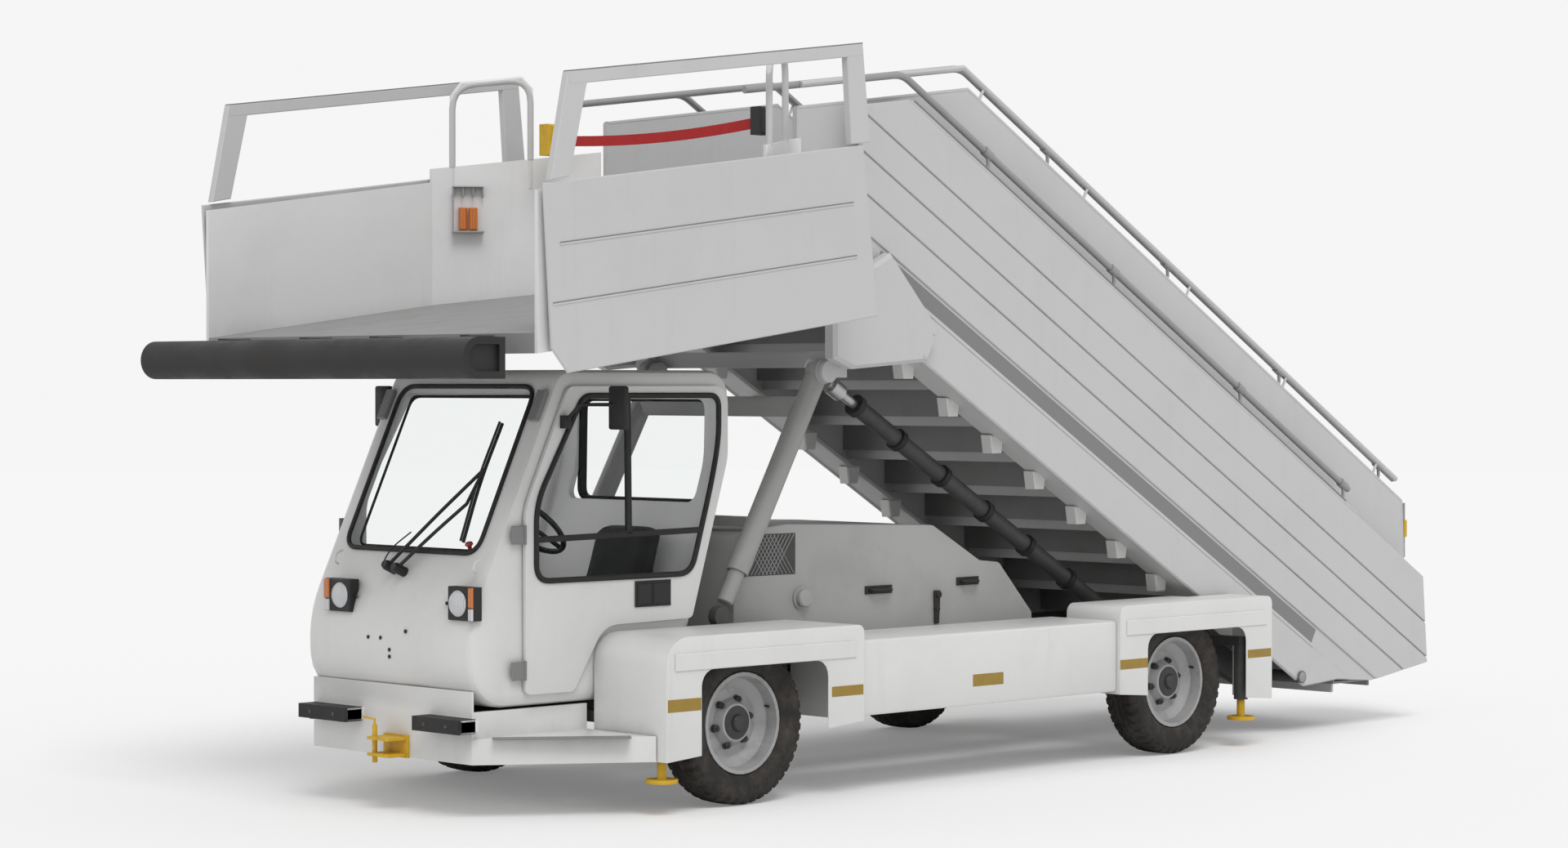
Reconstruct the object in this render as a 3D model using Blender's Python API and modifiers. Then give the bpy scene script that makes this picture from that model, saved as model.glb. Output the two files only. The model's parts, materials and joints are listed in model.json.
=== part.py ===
# Self-propelled aircraft passenger stairs: chassis with cab, lift frame, two nested flights and a platform.
# Metres, +Z up.  The cab end faces -X, the driver's left is -Y, and X below is measured from the
# front axle; the empty "vehicle" then moves everything so that the whole is centred on the origin.
import math

import bmesh
import bpy
from mathutils import Matrix, Vector

# driving dimensions
WHEELBASE = 3.18
TYRE_RADIUS = 0.385
TYRE_WIDTH = 0.205
RIM_RADIUS = 0.255
TYRE_Y = 0.947                # centre of a tyre across the vehicle
KINGPIN_Y = 0.91

FRAME_RAIL_Y = 0.40           # centre of a chassis rail
FRAME_RAIL_W = 0.08
FRAME_TOP = 0.66
FRAME_BOTTOM = 0.52

NOSE_X = -1.28                # face of the front body box
NOSE_HALF = 0.594
NOSE_BOTTOM = 0.252
NOSE_TOP = 0.583
NOSE_WALL = 0.012
STEP_Z = 0.37                 # cab step tread
STEP_BACK_X = -0.592
STEP_OUT = 1.075              # outer end of the cab step at its rear
BUFFER_FACE_X = -1.385
BUFFER_Z = (0.400, 0.462)
BUFFERS_Y = ((0.20, 0.58), (-0.64, -0.285))

CAB_HALF = 0.62
CAB_WALL = 0.035
CAB_ROUND = 0.045             # rounding of the cab where front, roof and back meet its sides
CAB_FLOOR = 0.50
CAB_TOP = 2.04
DRIVER_Y = -0.20              # middle of the seat and the steering wheel
DOOR_THICK = 0.020
DOOR_GAP = 0.006              # between the door leaf and the cab side
GLASS = 0.006
FIT = 0.0003                  # between pieces that touch

FENDER_OUT = 1.14
FENDER_IN = 0.635
FENDER_WALL = 0.007
FENDER_TOP = 0.82
LIP_BOTTOM = 0.664
SKIRT_OUT = 1.121
SKIRT_TOP = 0.745
SKIRT_X = (0.70, WHEELBASE - 0.58)
FRONT_FENDER_X = -0.585
REAR_FENDER_X = WHEELBASE + 0.70

JACK_Y = 1.05
JACK_TRAVEL = 0.150           # foot to floor
JACK_RADIUS = 0.038           # housing in the chassis
JACK_X = (-0.535, 3.72)

PIN_X, PIN_Z = 4.52, 0.32     # rear hinge of the lower flight
PIN_RADIUS = 0.034
FLIGHT_DEG = 30.1             # slope of both flights at rest
PLATFORM_DEG = 7.5            # nose-down tilt of the platform at rest
RISE, RUN = 0.193, 0.333      # one step
LOWER_Y = 0.85                # outer face of the lower flight
UPPER_Y = 0.715               # outer face of the upper flight
SIDE_PLATE = 0.030
PLATFORM_Y = 1.293            # outer face of the platform side panels
FLANGE_Y = 0.645              # inner edge of the flange under the lower flight's sides
FLANGE_T = -0.03

LIFT_EYE = (0.248, 0.853)     # X, Z of the lift cylinders' lower eyes
LIFT_RING = (0.919, 2.036)    # X, Z of the ring that carries the lower flight
LIFT_Y = 0.60

BELT_X, BELT_Y, BELT_Z = 0.36, 0.80, 3.22

FRONT_END = -1.834            # nose of the platform bumper
REAR_END = 5.745              # foot of the lower flight
ORIGIN_X = (FRONT_END + REAR_END) / 2

LEFT, RIGHT = -1, 1           # sign of Y on each side
SIDES = (("left", LEFT), ("right", RIGHT))

# scene and materials
for old in list(bpy.data.objects):
    bpy.data.objects.remove(old)

parts = bpy.data.collections.new("aircraft_stairs")
bpy.context.scene.collection.children.link(parts)

PAINTS = {                    # colour, roughness, metallic
    "white_paint": ((0.72, 0.72, 0.71), 0.45, 0.0),
    "grey_paint": ((0.36, 0.36, 0.36), 0.5, 0.0),
    "dark_steel": ((0.10, 0.10, 0.10), 0.5, 0.3),
    "alloy": ((0.55, 0.55, 0.55), 0.35, 0.9),
    "rubber": ((0.03, 0.03, 0.03), 0.8, 0.0),
    "yellow_paint": ((0.80, 0.52, 0.04), 0.45, 0.0),
    "glass": ((0.75, 0.80, 0.80), 0.05, 0.0),
    "cloth": ((0.03, 0.03, 0.03), 0.9, 0.0),
    "belt_red": ((0.55, 0.04, 0.03), 0.6, 0.0),
}


def paint(name):
    material = bpy.data.materials.get(name)
    if material is None:
        colour, roughness, metallic = PAINTS[name]
        material = bpy.data.materials.new(name)
        material.use_nodes = True
        shader = material.node_tree.nodes["Principled BSDF"]
        shader.inputs["Base Color"].default_value = (*colour, 1.0)
        shader.inputs["Roughness"].default_value = roughness
        shader.inputs["Metallic"].default_value = metallic
    return material


# pivots
pivot_at = {}                 # name -> (empty, place measured from the front axle)


def add_pivot(name, place, parent=None):
    """An empty on a joint's axis, at a place measured from the front axle."""
    empty = bpy.data.objects.new(name, None)
    parts.objects.link(empty)
    if parent is None:
        empty.location = place
        pivot_at[name] = (empty, Vector((0, 0, 0)))
        return
    parent_empty, parent_place = pivot_at[parent]
    empty.parent = parent_empty
    empty.location = Vector(place) - parent_place
    pivot_at[name] = (empty, Vector(place))


def attach(obj, name, pivot, material):
    """Names a finished solid and hangs it on its pivot."""
    empty, place = pivot_at[pivot]
    obj.data.transform(Matrix.Translation(-place))
    obj.parent = empty
    obj.name = name
    obj.data.name = name
    obj.data.materials.clear()
    obj.data.materials.append(paint(material))
    return obj


# shapes
def bake(obj, outwards=True):
    """Replaces an object by a plain mesh of what its modifiers and transform make."""
    bpy.context.view_layer.update()
    depsgraph = bpy.context.evaluated_depsgraph_get()
    mesh = bpy.data.meshes.new_from_object(obj.evaluated_get(depsgraph))
    mesh.transform(obj.matrix_world)
    work = bmesh.new()
    work.from_mesh(mesh)
    bmesh.ops.remove_doubles(work, verts=work.verts, dist=0.00002)
    if outwards:
        bmesh.ops.recalc_face_normals(work, faces=work.faces)
    work.to_mesh(mesh)
    work.free()
    solid = bpy.data.objects.new(obj.name, mesh)
    parts.objects.link(solid)
    bpy.data.objects.remove(obj)
    return solid


def block(x, y, z, bevel=0.0, segments=2):
    """A box between two values on each axis, its edges rounded by bevel."""
    bpy.ops.mesh.primitive_cube_add(size=1)
    obj = bpy.context.object
    centre = Vector(((x[0] + x[1]) / 2, (y[0] + y[1]) / 2, (z[0] + z[1]) / 2))
    size = (abs(x[1] - x[0]), abs(y[1] - y[0]), abs(z[1] - z[0]))
    obj.data.transform(Matrix.Translation(centre) @ Matrix.Diagonal((*size, 1)))
    if bevel:
        rounding = obj.modifiers.new("rounding", "BEVEL")
        rounding.width = bevel
        rounding.segments = segments
        rounding.limit_method = "ANGLE"
    return bake(obj)


def rod(start, end, radius, sides=24):
    """A straight round bar between two points."""
    start, end = Vector(start), Vector(end)
    along = end - start
    bpy.ops.mesh.primitive_cylinder_add(vertices=sides, radius=radius, depth=along.length)
    obj = bpy.context.object
    turn = along.to_track_quat("Z", "Y").to_matrix().to_4x4()
    obj.matrix_world = Matrix.Translation((start + end) / 2) @ turn
    return bake(obj)


def bar(start, end, width, height):
    """A straight square bar between two points; its width lies across, its height stands up."""
    start, end = Vector(start), Vector(end)
    along = end - start
    bpy.ops.mesh.primitive_cube_add(size=1)
    obj = bpy.context.object
    x_axis = along.normalized()
    y_axis = Vector((0, 1, 0)) if abs(x_axis.y) < 0.9 else Vector((1, 0, 0))
    z_axis = x_axis.cross(y_axis).normalized()
    turn = Matrix((x_axis, y_axis, z_axis)).transposed().to_4x4()
    size = Matrix.Diagonal((along.length, width, height, 1))
    obj.data.transform(Matrix.Translation((start + end) / 2) @ turn @ size)
    return bake(obj)


def rounded(corners, steps=5):
    """Points of an outline whose corners (a, b, fillet radius) are filled with arcs."""
    points = []
    count = len(corners)
    for index, (a, b, radius) in enumerate(corners):
        here = Vector((a, b))
        before = (Vector(corners[index - 1][:2]) - here).normalized()
        after = (Vector(corners[(index + 1) % count][:2]) - here).normalized()
        half = before.angle(after) / 2
        if radius <= 0 or half > math.radians(89):
            points.append(here)
            continue
        reach = radius / math.tan(half)
        centre = here + (before + after).normalized() * radius / math.sin(half)
        start, end = here + before * reach - centre, here + after * reach - centre
        sweep = start.angle_signed(end)
        for step in range(steps + 1):
            points.append(centre + Matrix.Rotation(-sweep * step / steps, 2) @ start)
    return points


def inset(corners, wall):
    """The same outline moved inwards by a wall; corners run clockwise seen with a right and b up."""
    moved = []
    count = len(corners)
    for index, (a, b, radius) in enumerate(corners):
        here = Vector((a, b))
        before = (here - Vector(corners[index - 1][:2])).normalized()
        after = (Vector(corners[(index + 1) % count][:2]) - here).normalized()
        inward_before = Vector((before.y, -before.x))
        inward_after = Vector((after.y, -after.x))
        middle = (inward_before + inward_after).normalized()
        place = here + middle * wall / middle.dot(inward_before)
        moved.append((place.x, place.y, max(radius - wall, 0.0)))
    return moved


def plate(points, low, high, facing="Y"):
    """A flat outline given thickness along an axis: (x, z) points for Y, (x, y) for Z, (y, z) for X."""
    curve = bpy.data.curves.new("outline", "CURVE")
    curve.dimensions = "2D"
    curve.fill_mode = "BOTH"
    curve.extrude = (high - low) / 2
    line = curve.splines.new("POLY")
    line.points.add(len(points) - 1)
    for point, place in zip(line.points, points):
        point.co = (place[0], place[1], 0, 1)
    line.use_cyclic_u = True
    obj = bpy.data.objects.new("outline", curve)
    parts.objects.link(obj)
    middle = (low + high) / 2
    if facing == "Y":
        obj.matrix_world = Matrix.Translation((0, middle, 0)) @ Matrix.Rotation(math.pi / 2, 4, "X")
    elif facing == "X":
        turn = Matrix(((0, 0, 1, 0), (1, 0, 0, 0), (0, 1, 0, 0), (0, 0, 0, 1)))
        obj.matrix_world = Matrix.Translation((middle, 0, 0)) @ turn
    else:
        obj.matrix_world = Matrix.Translation((0, 0, middle))
    return bake(obj)


def soft_plate(corners, low, high, edge):
    """An (x, z) outline thick along Y whose two rims are rounded: a loft of the outline and its insets."""
    sections = []
    for angle in (90, 45, 0):
        turn = math.radians(angle)
        sections.append((edge * (1 - math.sin(turn)), edge * (1 - math.cos(turn))))
    layers = [(low + deep, shrink) for deep, shrink in sections]
    layers += [(high - deep, shrink) for deep, shrink in reversed(sections)]
    shape = bmesh.new()
    loops = []
    for y, shrink in layers:
        points = rounded(inset([(x, z, max(r, edge + 0.002)) for x, z, r in corners], shrink))
        loops.append([shape.verts.new((x, y, z)) for x, z in points])
    for lower, upper in zip(loops, loops[1:]):
        for index in range(len(lower)):
            after = (index + 1) % len(lower)
            shape.faces.new((lower[index], lower[after], upper[after], upper[index]))
    shape.faces.new(loops[0])
    shape.faces.new(loops[-1])
    mesh = bpy.data.meshes.new("soft_plate")
    shape.to_mesh(mesh)
    shape.free()
    obj = bpy.data.objects.new("soft_plate", mesh)
    parts.objects.link(obj)
    return bake(obj)


def bent_tube(points, radius, closed=False):
    """A round tube along straight runs whose bends are given as points."""
    curve = bpy.data.curves.new("tube", "CURVE")
    curve.dimensions = "3D"
    curve.bevel_depth = radius
    curve.bevel_resolution = 2
    curve.use_fill_caps = not closed
    line = curve.splines.new("POLY")
    line.points.add(len(points) - 1)
    for point, place in zip(line.points, points):
        point.co = (*place, 1)
    line.use_cyclic_u = closed
    obj = bpy.data.objects.new("tube", curve)
    parts.objects.link(obj)
    return bake(obj)


def turned(profile, centre, sides=36):
    """A profile of (radius, y) pairs, outer side first, turned about an axis along Y."""
    mesh = bpy.data.meshes.new("profile")
    points = [(radius, 0, -y) for radius, y in profile]
    edges = [(i, i + 1) for i in range(len(points) - 1)]
    if profile[0][0] > 0.0001 or profile[-1][0] > 0.0001:
        edges.append((len(points) - 1, 0))
    mesh.from_pydata(points, edges, [])
    obj = bpy.data.objects.new("profile", mesh)
    parts.objects.link(obj)
    screw = obj.modifiers.new("turn", "SCREW")
    screw.steps = sides
    screw.render_steps = sides
    screw.use_merge_vertices = True
    screw.merge_threshold = 0.00005
    obj.matrix_world = Matrix.Translation(centre) @ Matrix.Rotation(math.pi / 2, 4, "X")
    return bake(obj)


def join(base, others, operation="UNION"):
    """Adds solids to a base, or cuts them from it, and removes them."""
    for other in others:
        change = base.modifiers.new("join", "BOOLEAN")
        change.operation = operation
        change.solver = "EXACT"
        change.object = other
        base = bake(base, outwards=False)
        bpy.data.objects.remove(other)
    return base


def cut(base, cutters):
    return join(base, cutters, "DIFFERENCE")


def flip(points, side):
    """Mirrors points across the vehicle's middle plane for the left side."""
    return [(x, y * side, z) for x, y, z in points]


def span(side, near, far):
    """A pair of Y values on one side of the vehicle, in rising order."""
    return tuple(sorted((side * near, side * far)))


# slopes
def along_flight(s, t):
    """(x, z) of a point s up the flight's slope from the rear hinge and t above it."""
    slope = math.radians(FLIGHT_DEG)
    x = PIN_X - s * math.cos(slope) + t * math.sin(slope)
    z = PIN_Z + s * math.sin(slope) + t * math.cos(slope)
    return x, z


def deck_z(x):
    """Height of the walking surface of the platform and landing at x."""
    return 2.20 + (x + 1.42) * math.tan(math.radians(PLATFORM_DEG))


# chassis
def frame_rail():
    """Outline (x, z) of a chassis rail: it dips under the cab and comes down to the rear hinge."""
    cab_top = 0.48
    return [(-1.10, cab_top), (-1.10, 0.47), (-0.90, 0.425), (0.30, 0.425), (0.90, 0.50), (3.95, 0.50),
            (PIN_X, PIN_Z - 0.07), (PIN_X + 0.06, PIN_Z), (PIN_X, PIN_Z + 0.07), (4.05, FRAME_TOP),
            (0.90, FRAME_TOP), (-0.20, cab_top)]


def chassis_frame():
    pieces = []
    for _, side in SIDES:
        middle = side * FRAME_RAIL_Y
        pieces.append(plate(frame_rail(), middle - FRAME_RAIL_W / 2, middle + FRAME_RAIL_W / 2))
    # cross members: x, top
    for x, top in ((-0.80, 0.47), (0.95, 0.63), (2.30, 0.63), (3.90, 0.63)):
        pieces.append(block((x - 0.04, x + 0.04), (-FRAME_RAIL_Y, FRAME_RAIL_Y), (top - 0.08, top)))
    for x, top in zip(JACK_X, (0.45, 0.60)):
        pieces.append(block((x - 0.03, x + 0.03), (-JACK_Y, JACK_Y), (top - 0.05, top)))
        for _, side in SIDES:
            pieces.append(rod((x, side * JACK_Y, 0.26), (x, side * JACK_Y, 0.60), JACK_RADIUS))
    pin_end = LOWER_Y + 0.012
    pieces.append(rod((PIN_X, -pin_end, PIN_Z), (PIN_X, pin_end, PIN_Z), PIN_RADIUS))
    eye_x, eye_z = LIFT_EYE
    for _, side in SIDES:
        near, far = LIFT_Y - 0.025, LIFT_Y + 0.025
        pieces.append(block((0.16, 0.34), span(side, 0.41, far + 0.007), (0.46, 0.63)))
        pieces.append(block((0.19, 0.31), span(side, near - 0.005, far + 0.005), (0.60, 0.80)))
        pieces.append(block((eye_x - 0.033, eye_x + 0.033), span(side, near, far), (0.78, eye_z)))
        pieces.append(rod((eye_x, side * near, eye_z), (eye_x, side * far, eye_z), 0.05))
        for x in (0.95, 2.30):
            pieces.append(block((x - 0.03, x + 0.03), span(side, FRAME_RAIL_Y, 1.09), (0.58, 0.63)))
    frame = join(pieces[0], pieces[1:])
    bores = []
    for x in JACK_X:
        for _, side in SIDES:
            bores.append(rod((x, side * JACK_Y, 0.20), (x, side * JACK_Y, 0.56), 0.024))
    attach(cut(frame, bores), "chassis_frame", "vehicle", "dark_steel")


def front_body():
    tray = plate([(NOSE_X, NOSE_HALF), (STEP_BACK_X, STEP_OUT), (STEP_BACK_X, -STEP_OUT),
                  (NOSE_X, -NOSE_HALF)],
                 NOSE_BOTTOM, STEP_Z, "Z")
    hollow_x, hollow_half, hollow_out = NOSE_X + 0.02, NOSE_HALF - 0.01, STEP_OUT - 0.03
    hollow = plate([(hollow_x, hollow_half), (STEP_BACK_X - 0.008, hollow_out),
                    (STEP_BACK_X - 0.008, -hollow_out), (hollow_x, -hollow_half)],
                   NOSE_BOTTOM - 0.1, STEP_Z - 0.02, "Z")
    lip = block((NOSE_X, NOSE_X + NOSE_WALL), (-NOSE_HALF, NOSE_HALF), (STEP_Z - 0.05, NOSE_TOP))
    cheeks = [block((NOSE_X, STEP_BACK_X), span(side, NOSE_HALF - 0.02, NOSE_HALF),
                    (STEP_Z - 0.05, CAB_FLOOR - 0.01)) for _, side in SIDES]
    buffers = [block((BUFFER_FACE_X, NOSE_X + 0.01), y, BUFFER_Z, 0.008, 1) for y in BUFFERS_Y]
    attach(join(cut(tray, [hollow]), [lip] + cheeks + buffers), "front_body", "vehicle", "white_paint")


def tow_hitch():
    x = NOSE_X - FIT
    pin_x, pin_y = x - 0.085, 0.01
    fork = [block((x - 0.012, x), (-0.14, 0.04), (0.25, 0.355)),
            block((x - 0.115, x - 0.006), (-0.13, 0.03), (0.333, 0.347)),
            block((x - 0.115, x - 0.006), (-0.13, 0.03), (0.257, 0.271)),
            rod((pin_x, pin_y, 0.225), (pin_x, pin_y, 0.40), 0.012)]
    handle = bent_tube([(pin_x, pin_y, 0.38), (pin_x, pin_y, 0.425), (pin_x, pin_y + 0.09, 0.432)], 0.006)
    attach(join(fork[0], fork[1:] + [handle]), "tow_hitch", "vehicle", "yellow_paint")


# cab
CAB_SIDE = [                  # x, z, fillet radius, clockwise from the rear foot
    (-0.06, CAB_FLOOR, 0.03),
    (-1.29, CAB_FLOOR, 0.20),
    (-1.315, 0.88, 0.6),
    (-0.775, CAB_TOP, 0.10),
    (0.31, CAB_TOP, 0.12),
    (0.30, 1.60, 0.5),
]
DOOR_OUTLINE = [
    (-0.715, 0.555, 0.05),
    (-1.006, 0.555, 0.03),
    (-1.006, 1.405, 0.3),
    (-0.745, 1.965, 0.05),
    (0.262, 1.965, 0.08),
    (0.262, 1.62, 0.3),
    (0.028, 0.86, 0.03),
    (-0.53, 0.85, 0.15),
]
WINDOW_OUTLINE = [
    (0.02, 1.072, 0.08),
    (-0.944, 1.072, 0.08),
    (-0.944, 1.43, 0.10),
    (-0.66, 1.92, 0.05),
    (0.20, 1.92, 0.06),
    (0.20, 1.66, 0.3),
]
SCREEN_BOTTOM_Z, SCREEN_TOP_Z, SCREEN_HALF = 1.195, 1.965, 0.50
REAR_WINDOW = (1.40, 1.90, 0.47)      # bottom z, top z, half width


def screen_frame():
    """Place, tilt and slope length of the windscreen on the cab's front."""
    low, high = Vector((-1.315, 0.88)), Vector((-0.775, CAB_TOP))
    direction = (high - low).normalized()
    tilt = math.atan2(direction.x, direction.y)
    middle_z = (SCREEN_BOTTOM_Z + SCREEN_TOP_Z) / 2
    x = low.x + (middle_z - low.y) * math.tan(tilt)
    length = (SCREEN_TOP_Z - SCREEN_BOTTOM_Z) / math.cos(tilt)
    return x, middle_z, tilt, length


def leaning_pane(x, z, tilt, half_width, length, thickness, radius, depth=0.0):
    """A rounded pane that stands across the vehicle and leans back by a tilt."""
    corners = [(half_width, -length / 2, radius), (-half_width, -length / 2, radius),
               (-half_width, length / 2, radius), (half_width, length / 2, radius)]
    pane = plate(rounded(corners, 4), depth - thickness / 2, depth + thickness / 2, "X")
    pane.data.transform(Matrix.Translation((x, 0, z)) @ Matrix.Rotation(tilt, 4, "Y"))
    return pane


def cab():
    outer = soft_plate(CAB_SIDE, -CAB_HALF, CAB_HALF, CAB_ROUND)
    inner = plate(rounded(inset(CAB_SIDE, CAB_WALL)), -CAB_HALF + CAB_WALL, CAB_HALF - CAB_WALL)
    x, z, tilt, length = screen_frame()
    screen_hole = leaning_pane(x, z, tilt, SCREEN_HALF, length, 0.3, 0.07)
    low, high, half = REAR_WINDOW
    rear_hole = leaning_pane(0.30, (low + high) / 2, 0, half, high - low, 0.3, 0.05)
    doorway = plate(rounded(inset(DOOR_OUTLINE, 0.035)), -1, 1)
    shell = cut(outer, [inner, screen_hole, rear_hole, doorway])
    pedestal = block((-0.50, -0.09), (DRIVER_Y - 0.24, DRIVER_Y + 0.24), (CAB_FLOOR + 0.01, 0.80))
    attach(join(shell, [pedestal]), "cab_shell", "vehicle", "white_paint")

    pane = leaning_pane(x, z, tilt, SCREEN_HALF - FIT, length - 2 * FIT, GLASS, 0.07, 0.017)
    attach(pane, "windscreen", "vehicle", "glass")
    pane = leaning_pane(0.286, (low + high) / 2, 0, half - FIT, high - low - 2 * FIT, GLASS, 0.05)
    attach(pane, "rear_window", "vehicle", "glass")

    dash = [(-0.97, 0.72, 0.0), (-1.235, 0.72, 0.02), (-1.235, 0.90, 0.02), (-1.13, 1.16, 0.02),
            (-0.97, 1.13, 0.03)]
    board = plate(rounded(dash, 3), -0.56, 0.56)
    wheel_tilt = math.radians(43)
    wheel_centre = Vector((-0.61, DRIVER_Y, 1.307))
    shaft = Vector((math.sin(wheel_tilt), 0, math.cos(wheel_tilt)))
    column = rod(wheel_centre - shaft * 0.57, wheel_centre - shaft * 0.0375, 0.025)
    foot = block((-1.10, -0.98), (-0.10, 0.10), (CAB_FLOOR + CAB_WALL + FIT, 0.75))
    attach(join(board, [column, foot]), "dashboard", "vehicle", "grey_paint")

    rim = 0.19
    bpy.ops.mesh.primitive_torus_add(major_radius=rim, minor_radius=0.014, major_segments=32,
                                     minor_segments=10)
    ring = bake(bpy.context.object)
    spokes = [bar((0, 0, 0), (rim * math.cos(a), rim * math.sin(a), 0.0), 0.03, 0.012)
              for a in (math.radians(90), math.radians(210), math.radians(330))]
    hub = rod((0, 0, -0.03), (0, 0, 0.02), 0.045)
    wheel = join(hub, spokes + [ring])
    place = Matrix.Translation(wheel_centre) @ Matrix.Rotation(wheel_tilt, 4, "Y")
    wheel.data.transform(place)
    attach(wheel, "steering_wheel", "vehicle", "rubber")

    cushion = block((-0.50, -0.03), (DRIVER_Y - 0.23, DRIVER_Y + 0.23), (0.8003, 0.90), 0.04, 3)
    attach(cushion, "seat_cushion", "vehicle", "cloth")
    back_outline = [(-0.02, 0.905, 0.03), (-0.14, 0.905, 0.03), (-0.01, 1.31, 0.035), (0.09, 1.31, 0.03)]
    back = plate(rounded(back_outline, 3), DRIVER_Y - 0.22, DRIVER_Y + 0.22)
    attach(back, "seat_back", "vehicle", "cloth")


def doors():
    for name, side in SIDES:
        outer_face = CAB_HALF + DOOR_GAP + DOOR_THICK
        leaf = plate(rounded(DOOR_OUTLINE), *span(side, outer_face - DOOR_THICK, outer_face))
        hole = plate(rounded(WINDOW_OUTLINE), *span(side, 0.5, 0.8))
        leaf = cut(leaf, [hole])
        clip = block((-0.80, -0.755), span(side, outer_face - 0.005, outer_face + 0.03), (1.77, 1.83))
        arm_path = [(-0.775, outer_face + 0.02, 1.81), (-0.76, 0.74, 1.88), (-0.64, 0.87, 1.88)]
        arm = bent_tube(flip(arm_path, side), 0.009)
        mirror = block((-0.66, -0.625), span(side, 0.82, 0.93), (1.765, 1.965), 0.01)
        leaf = join(leaf, [clip, arm, mirror])
        attach(leaf, f"{name}_door", f"{name}_door_hinge", "white_paint")
        pane_face = outer_face - DOOR_THICK / 2
        pane = plate(rounded(inset(WINDOW_OUTLINE, FIT)),
                     *span(side, pane_face - GLASS / 2, pane_face + GLASS / 2))
        attach(pane, f"{name}_door_glass", f"{name}_door_hinge", "glass")


# body sides
def fender(name, side, inner_y, start, end, front_foot, rear_foot, arch, front_round):
    """A wheel cover: outer skin with an arch, a top and end walls, open below and towards the frame."""
    outline = [(end, rear_foot, 0.0), (start, front_foot, 0.0), (start, FENDER_TOP, front_round),
               (end, FENDER_TOP, 0.04)]
    shell = plate(rounded(outline), *span(side, inner_y, FENDER_OUT))
    wall = FENDER_WALL
    hollow_corners = [(end - wall, rear_foot - 0.5, 0.0), (start + wall, rear_foot - 0.5, 0.0),
                      (start + wall, FENDER_TOP - wall, max(front_round - wall, 0.0)),
                      (end - wall, FENDER_TOP - wall, 0.03)]
    hollow = plate(rounded(hollow_corners), *span(side, 0.3, FENDER_OUT - wall))
    arch_start, arch_end = arch
    opening = [(arch_end, -0.2, 0.0), (arch_start, -0.2, 0.0), (arch_start, LIP_BOTTOM, 0.08),
               (arch_end, LIP_BOTTOM, 0.08)]
    arch_cut = plate(rounded(opening), *span(side, 1.0, 1.3))
    cutters = [hollow, arch_cut]
    if end > WHEELBASE:
        cutters.append(block((WHEELBASE + 0.30, end + 0.1), span(side, 0.3, LOWER_Y + 0.02), (0, 1)))
    attach(cut(shell, cutters), name, "vehicle", "white_paint")


def body_sides():
    for name, side in SIDES:
        fender(f"{name}_front_fender", side, FENDER_IN, FRONT_FENDER_X, SKIRT_X[0], 0.25, 0.355,
               (-0.367, 0.455), 0.13)
        fender(f"{name}_rear_fender", side, 0.77, SKIRT_X[1], REAR_FENDER_X, 0.36, 0.26,
               (WHEELBASE - 0.355, WHEELBASE + 0.475), 0.05)
        box = block((SKIRT_X[0] + FIT, SKIRT_X[1] - FIT), span(side, 0.66, SKIRT_OUT),
                    (0.372, SKIRT_TOP), 0.02)
        hollow = block((SKIRT_X[0] - 0.1, SKIRT_X[1] + 0.1), span(side, 0.4, SKIRT_OUT - 0.008),
                       (0.2, SKIRT_TOP - 0.01))
        skirt = cut(box, [hollow])
        attach(skirt, f"{name}_skirt", "vehicle", "white_paint")


HOOD_SIDE = [                 # x, z, fillet, clockwise from the rear foot
    (2.63, 0.70, 0.0),
    (0.44, 0.70, 0.0),
    (0.44, 1.25, 0.05),
    (0.80, 1.28, 0.10),
    (1.86, 1.245, 0.05),
    (2.22, 1.05, 0.03),
    (2.37, 1.035, 0.04),
    (2.63, 0.76, 0.0),
]


def engine():
    shell = plate(rounded(HOOD_SIDE, 3), -0.50, 0.50)
    hollow = [(x, z if z > 0.72 else 0.4, r) for x, z, r in inset(HOOD_SIDE, 0.012)]
    hollow = plate(rounded(hollow, 3), -0.488, 0.488)
    attach(cut(shell, [hollow]), "engine_hood", "vehicle", "grey_paint")
    block_body = block((0.85, 1.75), (-0.30, 0.30), (FRAME_TOP + FIT, 1.15), 0.02)
    attach(block_body, "engine_block", "vehicle", "dark_steel")


# running gear
def wheels():
    half = TYRE_WIDTH / 2
    tread = 0.078
    # one half of the tyre's section as (radius, y) from the tread's edge to the bead
    tyre_half = [(TYRE_RADIUS, tread), (TYRE_RADIUS - 0.02, half - 0.006), (TYRE_RADIUS - 0.065, half),
                 (RIM_RADIUS + 0.01, half - 0.012), (RIM_RADIUS - 0.015, half - 0.03)]
    tyre_profile = [(TYRE_RADIUS, -tread)] + tyre_half + [(r, -y) for r, y in tyre_half[:0:-1]]
    seat = RIM_RADIUS - 0.015 - FIT
    # the rim's outer face is at positive profile y; its disc is set in by the hub's depth
    rim_profile = [(seat, -0.070), (seat, 0.078), (seat - 0.018, 0.078), (seat - 0.03, 0.02),
                   (0.16, -0.012), (0.115, -0.005), (0.09, 0.035), (0.05, 0.045), (0.0, 0.045),
                   (0.0, -0.03), (0.13, -0.03), (seat - 0.045, -0.02), (seat - 0.02, -0.070)]
    for end, axle_x in (("front", 0.0), ("rear", WHEELBASE)):
        for name, side in SIDES:
            pivot = f"{name}_{end}_wheel_axle"
            centre = (axle_x, side * TYRE_Y, TYRE_RADIUS)
            tyre = turned(tyre_profile, centre)
            attach(tyre, f"{name}_{end}_tyre", pivot, "rubber")
            rim = turned([(r, y * side) for r, y in rim_profile][::side], centre)
            attach(rim, f"{name}_{end}_rim", pivot, "grey_paint")
            if end == "front":
                knuckle(name, side)


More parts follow.
